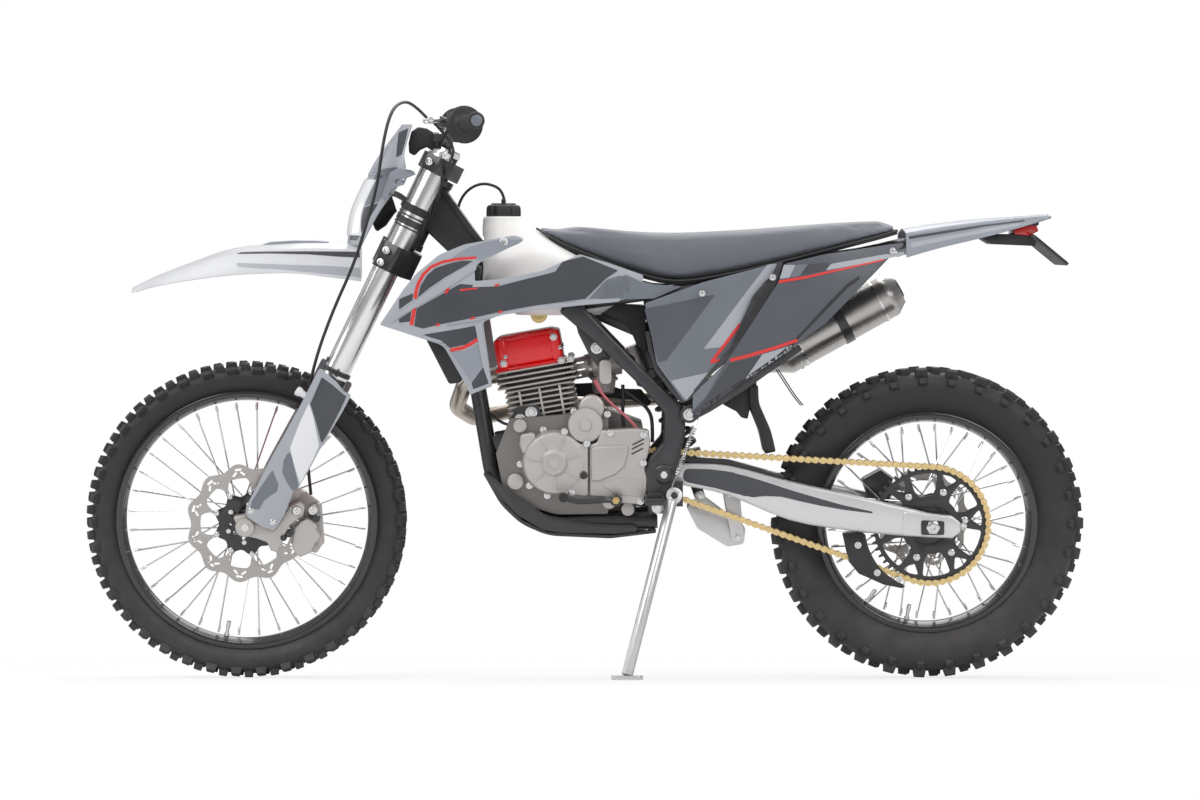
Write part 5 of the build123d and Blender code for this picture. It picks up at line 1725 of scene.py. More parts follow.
forkFoot = {
    "lug": [
        (-26, 370), (0, 374), (21, 358), (62, 341), (77, 366), (96, 393), (115, 400), (129, 391),
        (121, 372), (95, 350), (81, 320), (70, 292), (54, 296), (47, 314), (18, 325), (-7, 328), (-19, 340),
        (-20, 358),
    ],
    "caliper": [
        (106, 344), (117, 356), (132, 364), (149, 358), (156, 347), (152, 338), (163, 325), (155, 315),
        (148, 307), (141, 290), (127, 284), (115, 279), (105, 289), (99, 306), (101, 327),
    ],
    "fins": [(156, 344), (158, 325), (145, 308), (130, 291)],
    "pinBoss": (145, 381), "pinRubber": (152, 364), "topBolt": (111, 382),
    "blackPins": [(93, 332), (81, 324)],
    "guardScrews": [(13, 384), (60, 360)],
    "clip": (124, 634),
}

guard = {
    "outline": [
        (163, 693), (176, 681), (198, 662), (215, 640), (230, 634), (211, 598), (181, 548), (162, 517),
        (137, 470), (116, 435), (103, 424), (85, 377), (68, 349), (61, 342), (35, 352), (8, 370), (1, 379),
        (5, 397), (45, 474), (110, 591),
    ],
    "slate": [
        (167, 672), (189, 656), (212, 635), (219, 630), (204, 598), (183, 558), (165, 528), (159, 555),
        (151, 586), (142, 615),
    ],
    "mid": [
        [(61, 475), (65, 460), (73, 443), (70, 427), (56, 418), (41, 407), (31, 387), (12, 391), (15, 405)],
        [(97, 517), (106, 482), (116, 436), (104, 425), (91, 446), (81, 468), (84, 493)],
    ],
    "cool": [
        [(139, 616), (149, 583), (160, 525), (147, 495), (119, 442), (108, 479), (98, 520), (118, 572)],
    ],
}


def guardSurface(x, z):
    # bent round the leg: deepest along the leg's own line
    foot = forkPoint(0, fork["ahead"])
    aside = (x - foot.x) * steerDir.z - (z - foot.z) * steerDir.x
    return -140 + 7 * min(1.0, (aside / 44) ** 2)


def makeForkFeet():
    lug = slab(forkFoot["lug"], -122, -88, 4)
    clampRing = lathedAcross(0, frontAxleHeight, -132, -84, [(0, 15), (1, 19), (4, 21), (44, 21), (47, 19)],
        40)
    ends = [forkPoint(along, fork["ahead"], -fork["spread"]) for along in (30, 332)]
    leg = latheMesh(*ends, [(0, 14), (3, 20), (30, 21.5), (296, 21.5), (300, 20)], 40)
    bx, bz = forkFoot["topBolt"]
    boss = lathedAcross(bx, bz, -122, -90, [(0, 12), (2, 15), (30, 15), (32, 12)], 28)
    foot = merged(lug, clampRing, leg, boss)
    axle = lathedAcross(0, frontAxleHeight, -133, 133, [(0, 5.2), (0.2, 8), (1, 8.8), (265, 8.8),
        (265.8, 8), (266, 5.2)], 32)
    spacer = [lathedAcross(0, frontAxleHeight, -98, -68, [(0, 10), (0.4, 13), (29.6, 13), (30, 10)], 28),
        lathedAcross(0, frontAxleHeight, 98, 42, [(0, 10), (0.4, 13), (55.6, 13), (56, 10)], 28)]
    makePiece("forkFeet", withMirror(foot), castAlloy, ["fork_legs"], body="steering", smoothAngle=40)
    makePiece("frontAxle", merged(axle, *spacer), brightSteel, body="steering")
    caliper = slab(forkFoot["caliper"], -112, -70, 5, segments=4)
    inner = slab([(104, 396), (128, 416), (158, 392), (166, 302), (150, 278), (124, 288), (113, 340)], -53,
        -45, 2.5, round=8)
    bridge = slab([(150, 392), (163, 388), (168, 304), (154, 292), (150, 300), (146, 380)], -72, -51, 1.5,
        round=3, segments=2)
    makePiece("frontCaliperBody", merged(caliper, inner, bridge), castAlloy, ["front_caliper"],
        body="steering", smoothAngle=40)
    pins = []
    for px, pz in forkFoot["blackPins"]:
        pins.append(lathedAcross(px, pz, -126, -96, [(0, 3), (1, 6), (10, 6.4), (11, 8.4), (29, 8.4),
            (30, 6)], 20))
    px, pz = forkFoot["pinRubber"]
    pins.append(lathedAcross(px, pz, -118, -92, [(0, 4), (1, 8), (6, 9), (8, 7), (12, 9), (25, 9), (26, 6)],
        20))
    makePiece("caliperPins", merged(*pins), satinBlack, body="steering")
    bolts = []
    for px, pz, py in ((bx, bz, -122), (*forkFoot["pinBoss"], -110)):
        bolts.append(lathedAcross(px, pz, py, py - 6, [(0, 8.5), (1, 9), (1.2, 6.2), (5.4, 6.2), (6, 5.4),
            (6, 3.2), (3, 3)], 24))
    boss = lathedAcross(*forkFoot["pinBoss"], -110, -72, [(0, 7), (1, 9.5), (37, 9.5), (38, 7)], 24)
    makePiece("caliperBolts", merged(boss, *bolts), brightSteel, body="steering")
    ribs = []
    for px, pz in forkFoot["fins"]:
        toward = Vector((px - 140, 0, pz - 340)).normalized()
        tip = Vector((px, -101, pz))
        ribs.append(barMesh(tip - toward * 20, tip - toward * 3, 9, 3, 16))
    makePiece("caliperLobes", merged(*ribs), castAlloy, body="steering")


def makeGuards():
    walledPanel("guardShells", guard["outline"], guardSurface, 3.5, paleGrey, ["fork_guards"],
        body="steering", round=8, gap=8, edge=1.2)
    printAndShadeFilm("guardCool", guard["cool"], guardSurface, whitePlastic, 0.35, body="steering")
    printAndShadeFilm("guardMid", guard["mid"], guardSurface, midGrey, body="steering", round=8)
    printAndShadeFilm("guardSlate", [guard["slate"]], guardSurface, slateGrey, 0.5, body="steering", round=3)
    heads = []
    for x, z in forkFoot["guardScrews"]:
        y = guardSurface(x, z)
        heads.append(lathedAcross(x, z, y + 14, y - 2.6, [(0, 3), (13.6, 3.2), (13.8, 7), (15.4, 6.6),
            (16.4, 5), (16.5, 2.6), (15, 2.4)], 20))
    ring = forkLathe([(352, 26.4), (352.4, 30), (361.6, 30), (362, 26.4)], 36)
    arm = barMesh(forkPoint(357, fork["ahead"], -126), forkPoint(357, fork["ahead"], -137), 7)
    makePiece("guardStays", withMirror(merged(ring, arm)), mouldedBlack, body="steering")
    makePiece("guardScrews", withMirror(merged(*heads)), brightSteel, body="steering")
    x, z = forkFoot["clip"]
    clip = latheMesh((x - 12, -128, z + 10), (x + 18, -126, z - 10), [(0, 6), (2, 10), (10, 10), (14, 7.5),
        (32, 7.5), (36, 5)], 24)
    makePiece("hoseClips", clip, whitePlastic, body="steering")


# height, front, rear edge, half width
maskRows = [
    (948, 221, 252, 60), (1023, 233, 292, 88), (1100, 269, 345, 98), (1150, 299, 345, 88),
    (1210, 345, 362, 60),
]
mask = {
    "mid": [(287, 1109), (303, 1115), (330, 1119), (318, 1092), (291, 1045), (255, 1033), (264, 1062)],
    "slate": [(254, 1030), (290, 1042), (272, 1012), (242, 960), (227, 960), (237, 993)],
    "edge": [(316, 1172), (326, 1183), (304, 1142), (285, 1107), (275, 1098), (279, 1112)],
    "field": [(334, 1192), (355, 1202), (347, 1169), (340, 1145), (328, 1139), (331, 1169)],
    "arm": [
        (315, 1107), (330, 1115), (362, 1109), (372, 1104), (351, 1095), (345, 1081), (332, 1077),
        (320, 1073), (314, 1066), (312, 1052), (295, 1049), (302, 1072),
    ],
    "holes": [(331, 1088), (343, 1090)],
}


def maskShell(rows, skin, lift=0.0):
    rings = []
    for z, front, rear, half in rows:
        front, half = front - lift, half + lift * 0.5
        depth = rear - front
        radius = (half * half + depth * depth) / (2 * depth)
        widest = atan2(half, radius - depth) if depth < radius else pi / 2
        rings.append([(front + radius - radius * cos(a), -radius * sin(a), z)
            for a in [widest * (1 - 2 * k / 28) for k in range(29)]])
    mesh = loftMesh(rings, closeEnds=False, loop=False)
    if sum(f.normal.x for f in mesh.polygons) > 0:
        mesh.flip_normals()
    return shaped(mesh, walled(skin), softEdges(1.0, 2, 50))


def makeMask():
    rows = between(maskRows, 8)
    lower = maskShell([row for row in rows if row[0] < 1106], 3)
    upper = maskShell([row for row in rows if row[0] > 1094], 3, 2.5)
    shell = makePiece("maskShell", lower, paleGrey, ["headlight_mask"], body="steering", smoothAngle=40)
    screen = makePiece("maskScreen", upper, paleGrey, body="steering", smoothAngle=40)
    face = outerFace("steering", shell)
    printAndShadeFilm("maskMid", [mask["mid"]], face, midGrey, 0.6, body="steering", gap=6)
    printAndShadeFilm("maskSlate", [mask["slate"]], face, slateGrey, 0.6, body="steering", gap=6)
    face = outerFace("steering", screen)
    printAndShadeFilm("maskEdge", [mask["edge"]], face, coolGrey, 0.5, body="steering", gap=5)
    printAndShadeFilm("maskField", [mask["field"]], face, slateGrey, 0.7, body="steering", gap=5)
    lens = maskShell([row for row in rows if 966 < row[0] < 1094], 3, 3.5)
    lens = cutAway(lens, boxMesh((180, -62, 900), (420, 62, 1150)), "INTERSECT")
    makePiece("headlightLens", lens, lensClear, ["headlight_lens"], body="steering", smoothAngle=40)
    loops = [roundedOutline(mask["arm"], 5)] + [circleOutline(x, z, r, 20) for (x, z),
        r in zip(mask["holes"], (6, 3.4))]
    arm = shaped(plateMesh(loops, -100, -94), softEdges(1.2, 2, 50))
    makePiece("maskArms", withMirror(arm), coolGrey, body="steering")
    reflector = latheMesh((268, 0, 1024), (324, 0, 1042), [(0, 44), (4, 50), (26, 44), (50, 26), (58, 22)],
        40)
    makePiece("headlightPot", reflector, mouldedBlack, body="steering")
    stays = [tubeMesh([(312, s * 88, 1060), (332, s * 94, 1066), tuple(forkPoint(744, 26, s * 98))], 5, 12)
        for s in (-1, 1)]
    makePiece("maskStays", merged(*stays), satinBlack, body="steering")


bar = {
    "end": Vector((490, -400, 1217)), "knee": Vector((446, -160, 1200)),
    "pod": [
        (362, 1194), (377, 1204), (395, 1201), (413, 1190), (428, 1172), (425, 1157), (404, 1154),
        (395, 1161), (380, 1154), (368, 1142), (357, 1148), (356, 1169),
    ],
}


def alongBar(distance):
    return bar["end"] + (bar["knee"] - bar["end"]).normalized() * distance


def makeBars():
    smoothedNode("triple_clampsBody", "triple_clamps", 2.2, satinBlack, "steering")
    smoothedNode("handlebarTube", "handlebar", 0.5, satinBlack, "steering")
    profile = [(0, 8), (0.5, 15), (2, 17.5), (6, 18), (8, 16.2)]
    for n in range(12):
        profile += [(10 + 8 * n, 16.9), (14 + 8 * n, 16.9), (15.5 + 8 * n, 15.4), (16.5 + 8 * n, 15.4)]
    profile += [(108, 17), (111, 20), (113, 30), (115, 37), (118, 39.5), (121, 38), (123, 30), (126, 20),
        (127, 11.2)]
    grip = latheMesh(alongBar(0), alongBar(100), profile, 40)
    makePiece("gripRubbers", withMirror(grip), softRubber, ["grips"], body="steering")
    lockOn = latheMesh(alongBar(1), alongBar(-1), [(0, 7), (0.2, 12), (1.4, 11.5), (2.2, 7)], 32)
    makePiece("gripEnds", withMirror(lockOn), midGrey, body="steering")
    smoothedNode("controlBodies", "controls", 2.5, satinBlack, "steering")
    smoothedNode("leverBlades", "levers", 1.0, polishedAlloy, "steering")
    switch = boxMesh((-17, -16, -22), (17, 16, 24), 6)
    buttons = [boxMesh((-22, -9, 4), (-15, -1, 14), 1.5), boxMesh((-22, 2, 2), (-16, 10, 8), 1.5),
        boxMesh((-21, -7, -12), (-15, 6, -5), 1.5)]
    turn = Matrix.Translation(alongBar(144)) @ Matrix.Rotation(radians(10), 4, "Z")
    makePiece("switchHousing", moved(switch, turn), mouldedBlack, body="steering")
    makePiece("switchButtons", moved(merged(*buttons), turn), redStripe, body="steering")
    clampBolts = []
    for along in (640, 612, 850):
        for y in (-134, 134):
            clampBolts.append((forkPoint(along, 44, y), (0.4, -1 if y < 0 else 1, 0.2)))
    bolt = latheMesh((0, 0, -2), (0, 0, 6), [(0, 7.5), (2, 8), (2.2, 5.6), (7.4, 5.6), (8, 4.8), (8, 2.8),
        (5, 2.6)], 20)
    tops = [((432 + dx, s * 48 + dy, 1189), (0, 0, 1)) for s in (-1, 1) for dx,
        dy in ((-15, -6), (15, -6), (-15, 6), (15, 6))]
    stemNut = latheMesh(forkPoint(878, 0, 0), forkPoint(894, 0, 0), [(0, 16), (1, 18), (12, 18), (13, 15),
        (16, 14)], 6)
    makePiece("clampBolts", merged(dotted(bolt, clampBolts), dotted(bolt, tops, 0.7), stemNut), brightSteel,
        body="steering")
    caps = [boxMesh((408, s * 48 - 13, 1172), (456, s * 48 + 13, 1190), 3) for s in (-1, 1)]
    makePiece("barClampCaps", merged(*caps), satinBlack, body="steering")
    pod = slab(bar["pod"], -46, 46, 3, angle=40)
    makePiece("instrumentPod", pod, mouldedBlack, body="steering")


brakeHose = [
    (398, 222, 1226), (372, 150, 1252), (345, 60, 1262), (318, -40, 1240), (300, -104, 1170),
    (288, -118, 1080), (262, -122, 990), (236, -122, 910), (190, -118, 810), (150, -96, 700),
    (128, -70, 590), (132, -64, 490), (140, -72, 410),
]


def laidCord(name, route, radius, material=None, body="chassis", replaced=()):
    # a free cable or hose: one smooth spline through its route, attached to its body
    cord = smoothCurve(name, [spaces[body] @ Vector(place) for place in route], 14)
    places = [v.co.copy() for v in solved(cord).vertices]
    length = sum((b - a).length for a, b in zip(places, places[1:]))
    cord.data.bevel_depth = radius * 0.001
    cord.data.bevel_resolution = 3
    cord.data.use_fill_caps = True
    material = material or softRubber
    cord.data.materials.append(material)
    declared(cord, material, replaced, body)
    tuple(places[0])
    return cord


clutchCable = [
    (404, -232, 1216), (424, -176, 1196), (452, -150, 1159), (444, -150, 1133), (412, -88, 1052),
    (404, -80, 1016),
]
breather = [
    (564, 0, 1044), (560, 0, 1062), (546, 0, 1076), (516, 0, 1083), (487, 0, 1071), (467, 0, 1046),
    (463, 0, 1028),
]


def makeHoses():
    laidCord("brakeHose", brakeHose, 3.5, body="steering", replaced=["brake_hose"])
    laidCord("breatherHose", breather, 3.2)
    # from the left lever down inside the fork to the lower clamp
    laidCord("clutchCable", clutchCable, 3.0, body="steering")


makeFork()
makeForkFeet()
makeGuards()
makeMask()
makeBars()
makeHoses()
print("front made")

# engine and exhaust

engine = {
    "foot": (651, 0, 580), "tilt": 10, "generator": (674, 482), "ribs": 7, "starter": (741, 563),
    "idler": (754, 600),
}
engineSpace = Matrix.Translation(engine["foot"]) @ Matrix.Rotation(-radians(engine["tilt"]), 4, "Y")
caseScrew = [(0, 7), (1.6, 7.4), (1.8, 5), (6.4, 5), (7, 4.2), (7, 2.4), (4, 2.2)]
flangeBolt = [(0, 8), (1.4, 8.4), (1.6, 5.8), (7, 5.8), (8, 5)]


def headed(places, profile, sides=18):
    # screw heads: each at its place, standing along its direction
    part = latheMesh((0, 0, 0), (0, 0, 1), profile, sides)
    return dotted(part, places)


def leftFacing(points, y):
    return [((x, y, z), (0, -1, 0)) for x, z in points]


def makeCases():
    # the crankcase takes the darker alloy, as painted shade behind the covers
    smoothedNode("crankcaseShell", "crankcase", 5, shadedCaseAlloy)
    smoothedNode("rightEngineCover", "right_cover", 7, castAlloy)
    gx, gz = engine["generator"]
    dome = lathedAcross(gx, gz, -103, -143, [(0, 69), (3, 70), (10, 70), (13, 67.5), (26, 67), (31, 64),
        (33, 60), (33.2, 30), (36, 27), (38, 24), (39, 23), (39, 18), (37.6, 17.2), (37.6, 11.4),
        (39.8, 10.8), (40.4, 4), (40.4, 0.6)], 72)
    rib = boxMesh((-15.5, -2.2, -1.5), (15.5, 2.2, 1.5), 0.7)
    ribs = ringed(rib, castAlloy, engine["ribs"], 44.5, 0, 0.3)
    ribs.transform(Matrix.Translation((gx, -136.6, gz)))
    rim = ringed(boxMesh((-2, -1.2, -5), (2, 1.2, 5), 0.6), castAlloy, 24, 62, 0)
    rim.transform(Matrix.Translation((gx, -133.5, gz)))
    side = slab([(696, 543), (730, 523), (747, 520), (747, 411), (711, 414), (673, 420)], -134, -104, 5)
    bulge = slab([(601, 543), (633, 548), (635, 528), (631, 498), (606, 500), (599, 522)], -128, -102, 6,
        round=10)
    makePiece("generatorCover", merged(dome, ribs, rim, side, bulge), castAlloy, smoothAngle=40)
    cover = slab([(749, 519), (765, 526), (774, 552), (853, 556), (877, 552), (880, 524), (875, 497),
        (869, 482), (869, 466), (874, 449), (872, 424), (865, 391), (805, 396), (796, 409), (749, 411)],
        -130, -88, 5, round=7)
    bulge = slab([(753, 516), (835, 521), (831, 501), (825, 474), (806, 457), (774, 444), (753, 441)], -136,
        -126, 4, round=8)
    foot = slab([(773, 434), (815, 451), (861, 444), (865, 424), (860, 409), (805, 413), (792, 424)],
        -132.4, -126, 2.2, round=8, segments=2)
    slots = []
    for x, z in ((854, 527), (853, 518), (852, 507)):
        bar = boxMesh((-14, -1.2, -1.5), (14, 1.2, 1.5), 0.6)
        slots.append(moved(bar, Matrix.Translation((x, -130, z)) @ Matrix.Rotation(radians(-27), 4, "Y")))
    makePiece("coverSlots", merged(*slots), mouldedBlack)
    makePiece("sprocketCover", merged(cover, bulge, foot), castAlloy, ["left_covers"], smoothAngle=40)
    sx, sz = engine["starter"]
    big = lathedAcross(sx, sz, -86, -132, [(0, 36), (30, 36), (34, 38), (40, 38), (43, 36), (44, 30),
        (43, 27), (43, 14), (46, 12), (46, 0.5)], 48)
    ix, iz = engine["idler"]
    small = lathedAcross(ix, iz, -86, -120, [(0, 27), (26, 28), (32, 26), (34, 22), (33, 19), (33, 0.5)],
        40)
    makePiece("starterCovers", merged(big, small), castAlloy, ["starter"], smoothAngle=40)
    px, pz = (737, 456)
    plug = lathedAcross(px, pz, -132, -140, [(0, 8), (1, 9), (3, 9), (4, 7), (8, 7), (8, 4), (5, 3.6)], 24)
    makePiece("casePlug", plug, satinBlack)
    rows = leftFacing([(744, 524), (711, 418), (696, 550)], -134)
    rows += leftFacing([(794, 547), (865, 543), (859, 399), (865, 482)], -130)
    rows += leftFacing([(gx + 74 * cos(a), gz + 74 * sin(a)) for a in (1.9, 2.5, 3.2, 3.9, 4.5)], -106)
    rows += leftFacing(((716, 592), (788, 586), (792, 540)), -112)
    rows += [((x, 142, z), (0, 1, 0)) for x, z in ((606, 430), (602, 512), (646, 562), (784, 560),
        (834, 500), (826, 420), (760, 402), (656, 402))]
    makePiece("caseScrews", headed(rows, caseScrew), brightSteel)
    lugs = []
    for x, z, r in ((792, 396, 15), (832, 380, 14), (590, 440, 17), (600, 560, 14)):
        lugs.append(lathedAcross(x, z, -112, -60, [(0, r - 2), (1, r), (51, r), (52, r - 2)], 28))
    makePiece("caseBosses", merged(*lugs), castAlloy)
    drain = latheMesh((716, -20, 369), (716, -20, 358), [(0, 14), (4, 14), (4.4, 9.8), (11, 9.8)], 6)
    makePiece("drainPlug", drain, brightSteel)


# low, high, length, width, fins
finStacks = [(-6, 62, 158, 150, 7), (72, 106, 178, 168, 4)]


def makeCylinder():
    barrel = boxMesh((-56, -59, -16), (56, 59, 68), 10)
    head = boxMesh((-64, -66, 60), (64, 66, 134), 8)
    core = merged(barrel, head)
    core.transform(engineSpace)
    makePiece("cylinderCore", core, mouldedBlack)
    parts = []
    for low, high, length, width, count in finStacks:
        loop = roundedOutline([(-length / 2, -width / 2), (length / 2, -width / 2), (length / 2, width / 2),
            (-length / 2, width / 2)], 16, 5)
        for n in range(count):
            z = low + (high - low) * n / (count - 1)
            grow = 1 - 0.05 * n / count
            rows = []
            for dz, share in ((-2.4, 0.975), (-1.2, 1.0), (1.2, 1.0), (2.4, 0.975)):
                rows.append([(p.x * share * grow, p.y * share * grow, z + dz) for p in loop])
            parts.append(loftMesh(rows))
    for side in (-1, 1):
        for x in (-44, 0, 44):
            parts.append(boxMesh((x - 2.5, side * 73 - 2, -6), (x + 2.5, side * 73 + 2, 60), 1))
    whole = merged(*parts)
    whole.transform(engineSpace)
    makePiece("cylinderFins", whole, finAlloy, ["cylinder"], smoothAngle=40)
    rows = bothSides(((58, 112), (78, 112)), 84)
    rows += [((x, side * 70, 136), (0, 0, 1)) for side in (-1, 1) for x in (-60, 60)]
    bolts = headed(rows, flangeBolt, 6)
    bolts.transform(engineSpace)
    makePiece("headBolts", bolts, brightSteel)
    cover = softBox((-82, -72, 108), (64, 72, 184), 20, segments=5, angle=40)
    ends = [softBox((x - 13, -75, 112), (x + 13, 75, 180), 8, segments=4, angle=40) for x in (-67, 51)]
    lip = softBox((-86, -75, 107), (68, 75, 115), 3, segments=2, angle=40)
    whole = merged(cover, lip, *ends)
    whole.transform(engineSpace)
    makePiece("valveCoverShell", whole, valveRed, ["valve_cover"], smoothAngle=40)
    rows = bothSides(((-66, 126), (50, 164)), 76)
    bolts = headed(rows, flangeBolt, 6)
    bolts.transform(engineSpace)
    makePiece("valveCoverBolts", bolts, brightSteel)
    ringPart = lathedAcross(640, 798, -57, -70, [(0, 9), (0.4, 17), (2, 18), (11, 18), (12.6, 17), (13, 10),
        (10, 9.4)], 32)
    makePiece("fuelTap", ringPart, brassFit)
    stalk = barMesh((652, -22, 818), (640, -62, 799), 8)
    makePiece("fuelTapStem", stalk, polishedAlloy)


def makeIntake():
    smoothedNode("carburettorBody", "carburettor", 1.5, finAlloy)
    smoothedNode("airboxShell", "airbox", 8, mouldedBlack)
    shield = slab([(712, 642), (773, 645), (816, 631), (863, 630), (887, 598), (871, 589), (843, 606),
        (773, 612), (717, 614)], 58, 66, 2, segments=2, angle=40)
    inner = slab([(742, 808), (815, 819), (870, 817), (875, 714), (852, 730), (834, 774), (793, 792)], -55,
        55, 5, angle=40)
    makePiece("intakeShields", merged(shield, inner), mouldedBlack)
    plate = slab([(537, 535), (593, 545), (603, 529), (594, 507), (547, 505)], -70, -64, 1.2, round=5,
        segments=2, angle=40)
    makePiece("frontMountPlates", withMirror(plate), framePaint)
    makePiece("frontMountBolts", headed(bothSides([(585, 533)], 70), flangeBolt, 6), brightSteel)
    loop = roundedOutline([(770, 648), (798, 648), (798, 702), (770, 702)], 13, 6)
    solenoid = shaped(plateMesh([loop], -96, -58), softEdges(3, 3, 50))
    makePiece("solenoidCap", solenoid, castAlloy)
    bowl = latheMesh((781, 34, 690), (780, 34, 622), [(0, 25), (4, 27), (30, 27), (33, 31), (37, 31),
        (40, 26), (64, 24), (68, 18)], 32)
    makePiece("carburettorBowl", bowl, castAlloy)
    clampRings = [latheMesh((690 + d, 20 + d * 0.16, 672 + d * 0.19), (698 + d, 21.3 + d * 0.16, 673.5
        + d * 0.19), [(0, 24), (0.4, 27), (7.6, 27), (8, 24)], 32) for d in (14, 52)]
    makePiece("intakeClamps", merged(*clampRings), brightSteel)


def makeExhaust():
    smoothedNode("headerPipe", "exhaust_header", 0.4, headerSteel)
    flange = [latheMesh((572, 10, 668), (560, 10, 667.6), [(0, 18), (0.5, 27), (9, 27), (10, 24),
        (12, 18.4)], 32)]
    flange += [latheMesh((500, 9.5, 657), (488, 9.7, 654), [(0, 18), (0.5, 20.4), (11.5, 20.4), (12, 18)],
        32)]
    makePiece("headerCollars", merged(*flange), brightSteel)
    start, end = (1128, 148, 677), (1438, 148, 850)
    body = [(0, 18), (0.5, 21.5), (8, 22.5), (30, 33), (58, 50), (64, 51.6), (68, 52), (72, 51.4),
        (318, 51.4), (322, 52), (328, 51.6), (338, 46), (352, 36.5), (355, 35), (355, 24), (350, 22),
        (330, 21.5)]
    makePiece("mufflerShell", latheMesh(start, end, body, 72), brushedSteel, ["muffler"], smoothAngle=40)
    tip = latheMesh((1431, 148, 846), (1442, 148, 852.2), [(0, 20), (0.3, 22), (12, 22), (12.6, 20.4),
        (11, 19)], 40)
    makePiece("mufflerTip", tip, mouldedBlack)
    seams = [latheMesh(start, end, [(d, 51), (d + 0.5, 53.4), (d + 5.5, 53.4), (d + 6, 51)], 72)
        for d in (96, 300)]
    makePiece("mufflerBands", merged(*seams), brightSteel)
    strap = latheMesh(start, end, [(196, 51), (196.5, 54), (217.5, 54), (218, 51)], 72)
    arm = barMesh((1312, 100, 840), (1306, 88, 866), 8)
    makePiece("mufflerHanger", merged(strap, arm), satinBlack)
    rivet = latheMesh((0, 0, -1), (0, 0, 2.6), [(0, 4), (1, 4.2), (3, 3), (3.6, 1)], 12)
    along = (Vector(end) - Vector(start)).normalized()
    around = [along.cross(Vector((0, 1, 0))).normalized(), Vector((0, 1, 0))]
    rows = []
    for distance in (84, 332):
        for n in range(8):
            a = 2 * pi * n / 8
            out = around[0] * cos(a) + around[1] * sin(a)
            rows.append((Vector(start) + along * distance + out * (51.4 if distance < 300 else 48), out))
    makePiece("mufflerRivets", dotted(rivet, rows), brightSteel)


engineLines = {
    "wires": [
        [(759, 658), (767, 640), (785, 616), (816, 589), (846, 561), (858, 537)],
        [(764, 659), (773, 634), (794, 610), (822, 586), (852, 558), (863, 537)],
    ],
    "hoses": [
        [(821, 647), (823, 616), (820, 586), (823, 556)],
        [(828, 634), (852, 616), (879, 592), (886, 562), (885, 523)],
    ],
    "front": [(529, 586), (541, 577), (559, 565), (577, 559), (595, 562)],
}


def makeLines():
    for n, (route, y) in enumerate(zip(engineLines["wires"], (-98, -102))):
        laidCord("loomWire%d" % n, [(x, y + 6 * k / len(route), z) for k, (x, z) in enumerate(route)], 2.2,
            material=wirePink)
    for n, (route, y) in enumerate(zip(engineLines["hoses"], (-74, -84))):
        laidCord("ventHose%d" % n, [(x, y, z) for x, z in route], 4.0)
    laidCord("sparkLead", [(x, y, z) for (x, z), y in zip(engineLines["front"], (-50, -62, -72, -80, -84))],
        3.2)


makeCases()
makeCylinder()
makeIntake()
makeExhaust()
makeLines()
print("engine made")

# frame, swingarm and foot pieces

mainFrame = {
    "spar": [
        (684, 806, 10), (712, 842, 10), (795, 754, 60), (872, 674, 60), (944, 608, 26), (956, 560, 30),
        (944, 490, 40), (920, 372, 8), (876, 372, 8), (866, 465, 20), (878, 492, 16), (908, 526, 22),
        (910, 588, 20), (866, 640, 60), (760, 742, 60),
    ],
    "gusset": [
        (388, 985, 8), (432, 1074, 10), (514, 960, 10), (700, 852, 6), (700, 808, 6), (505, 872, 10),
    ],
    "ear": [(720, 804, 6), (735, 842, 6), (878, 778, 10), (884, 752, 6), (862, 744, 6)],
    "collars": [(791, 742), (878, 663)],
    "plate": [
        (713, 806), (737, 815), (767, 791), (794, 737), (806, 728), (785, 686), (767, 686), (749, 710),
        (725, 758),
    ],
    "plateBolts": [(735, 780), (765, 727)],
    "frontPlate": [(572, 560, 5), (592, 600, 8), (640, 604, 8), (648, 566, 8), (600, 540, 8)],
}


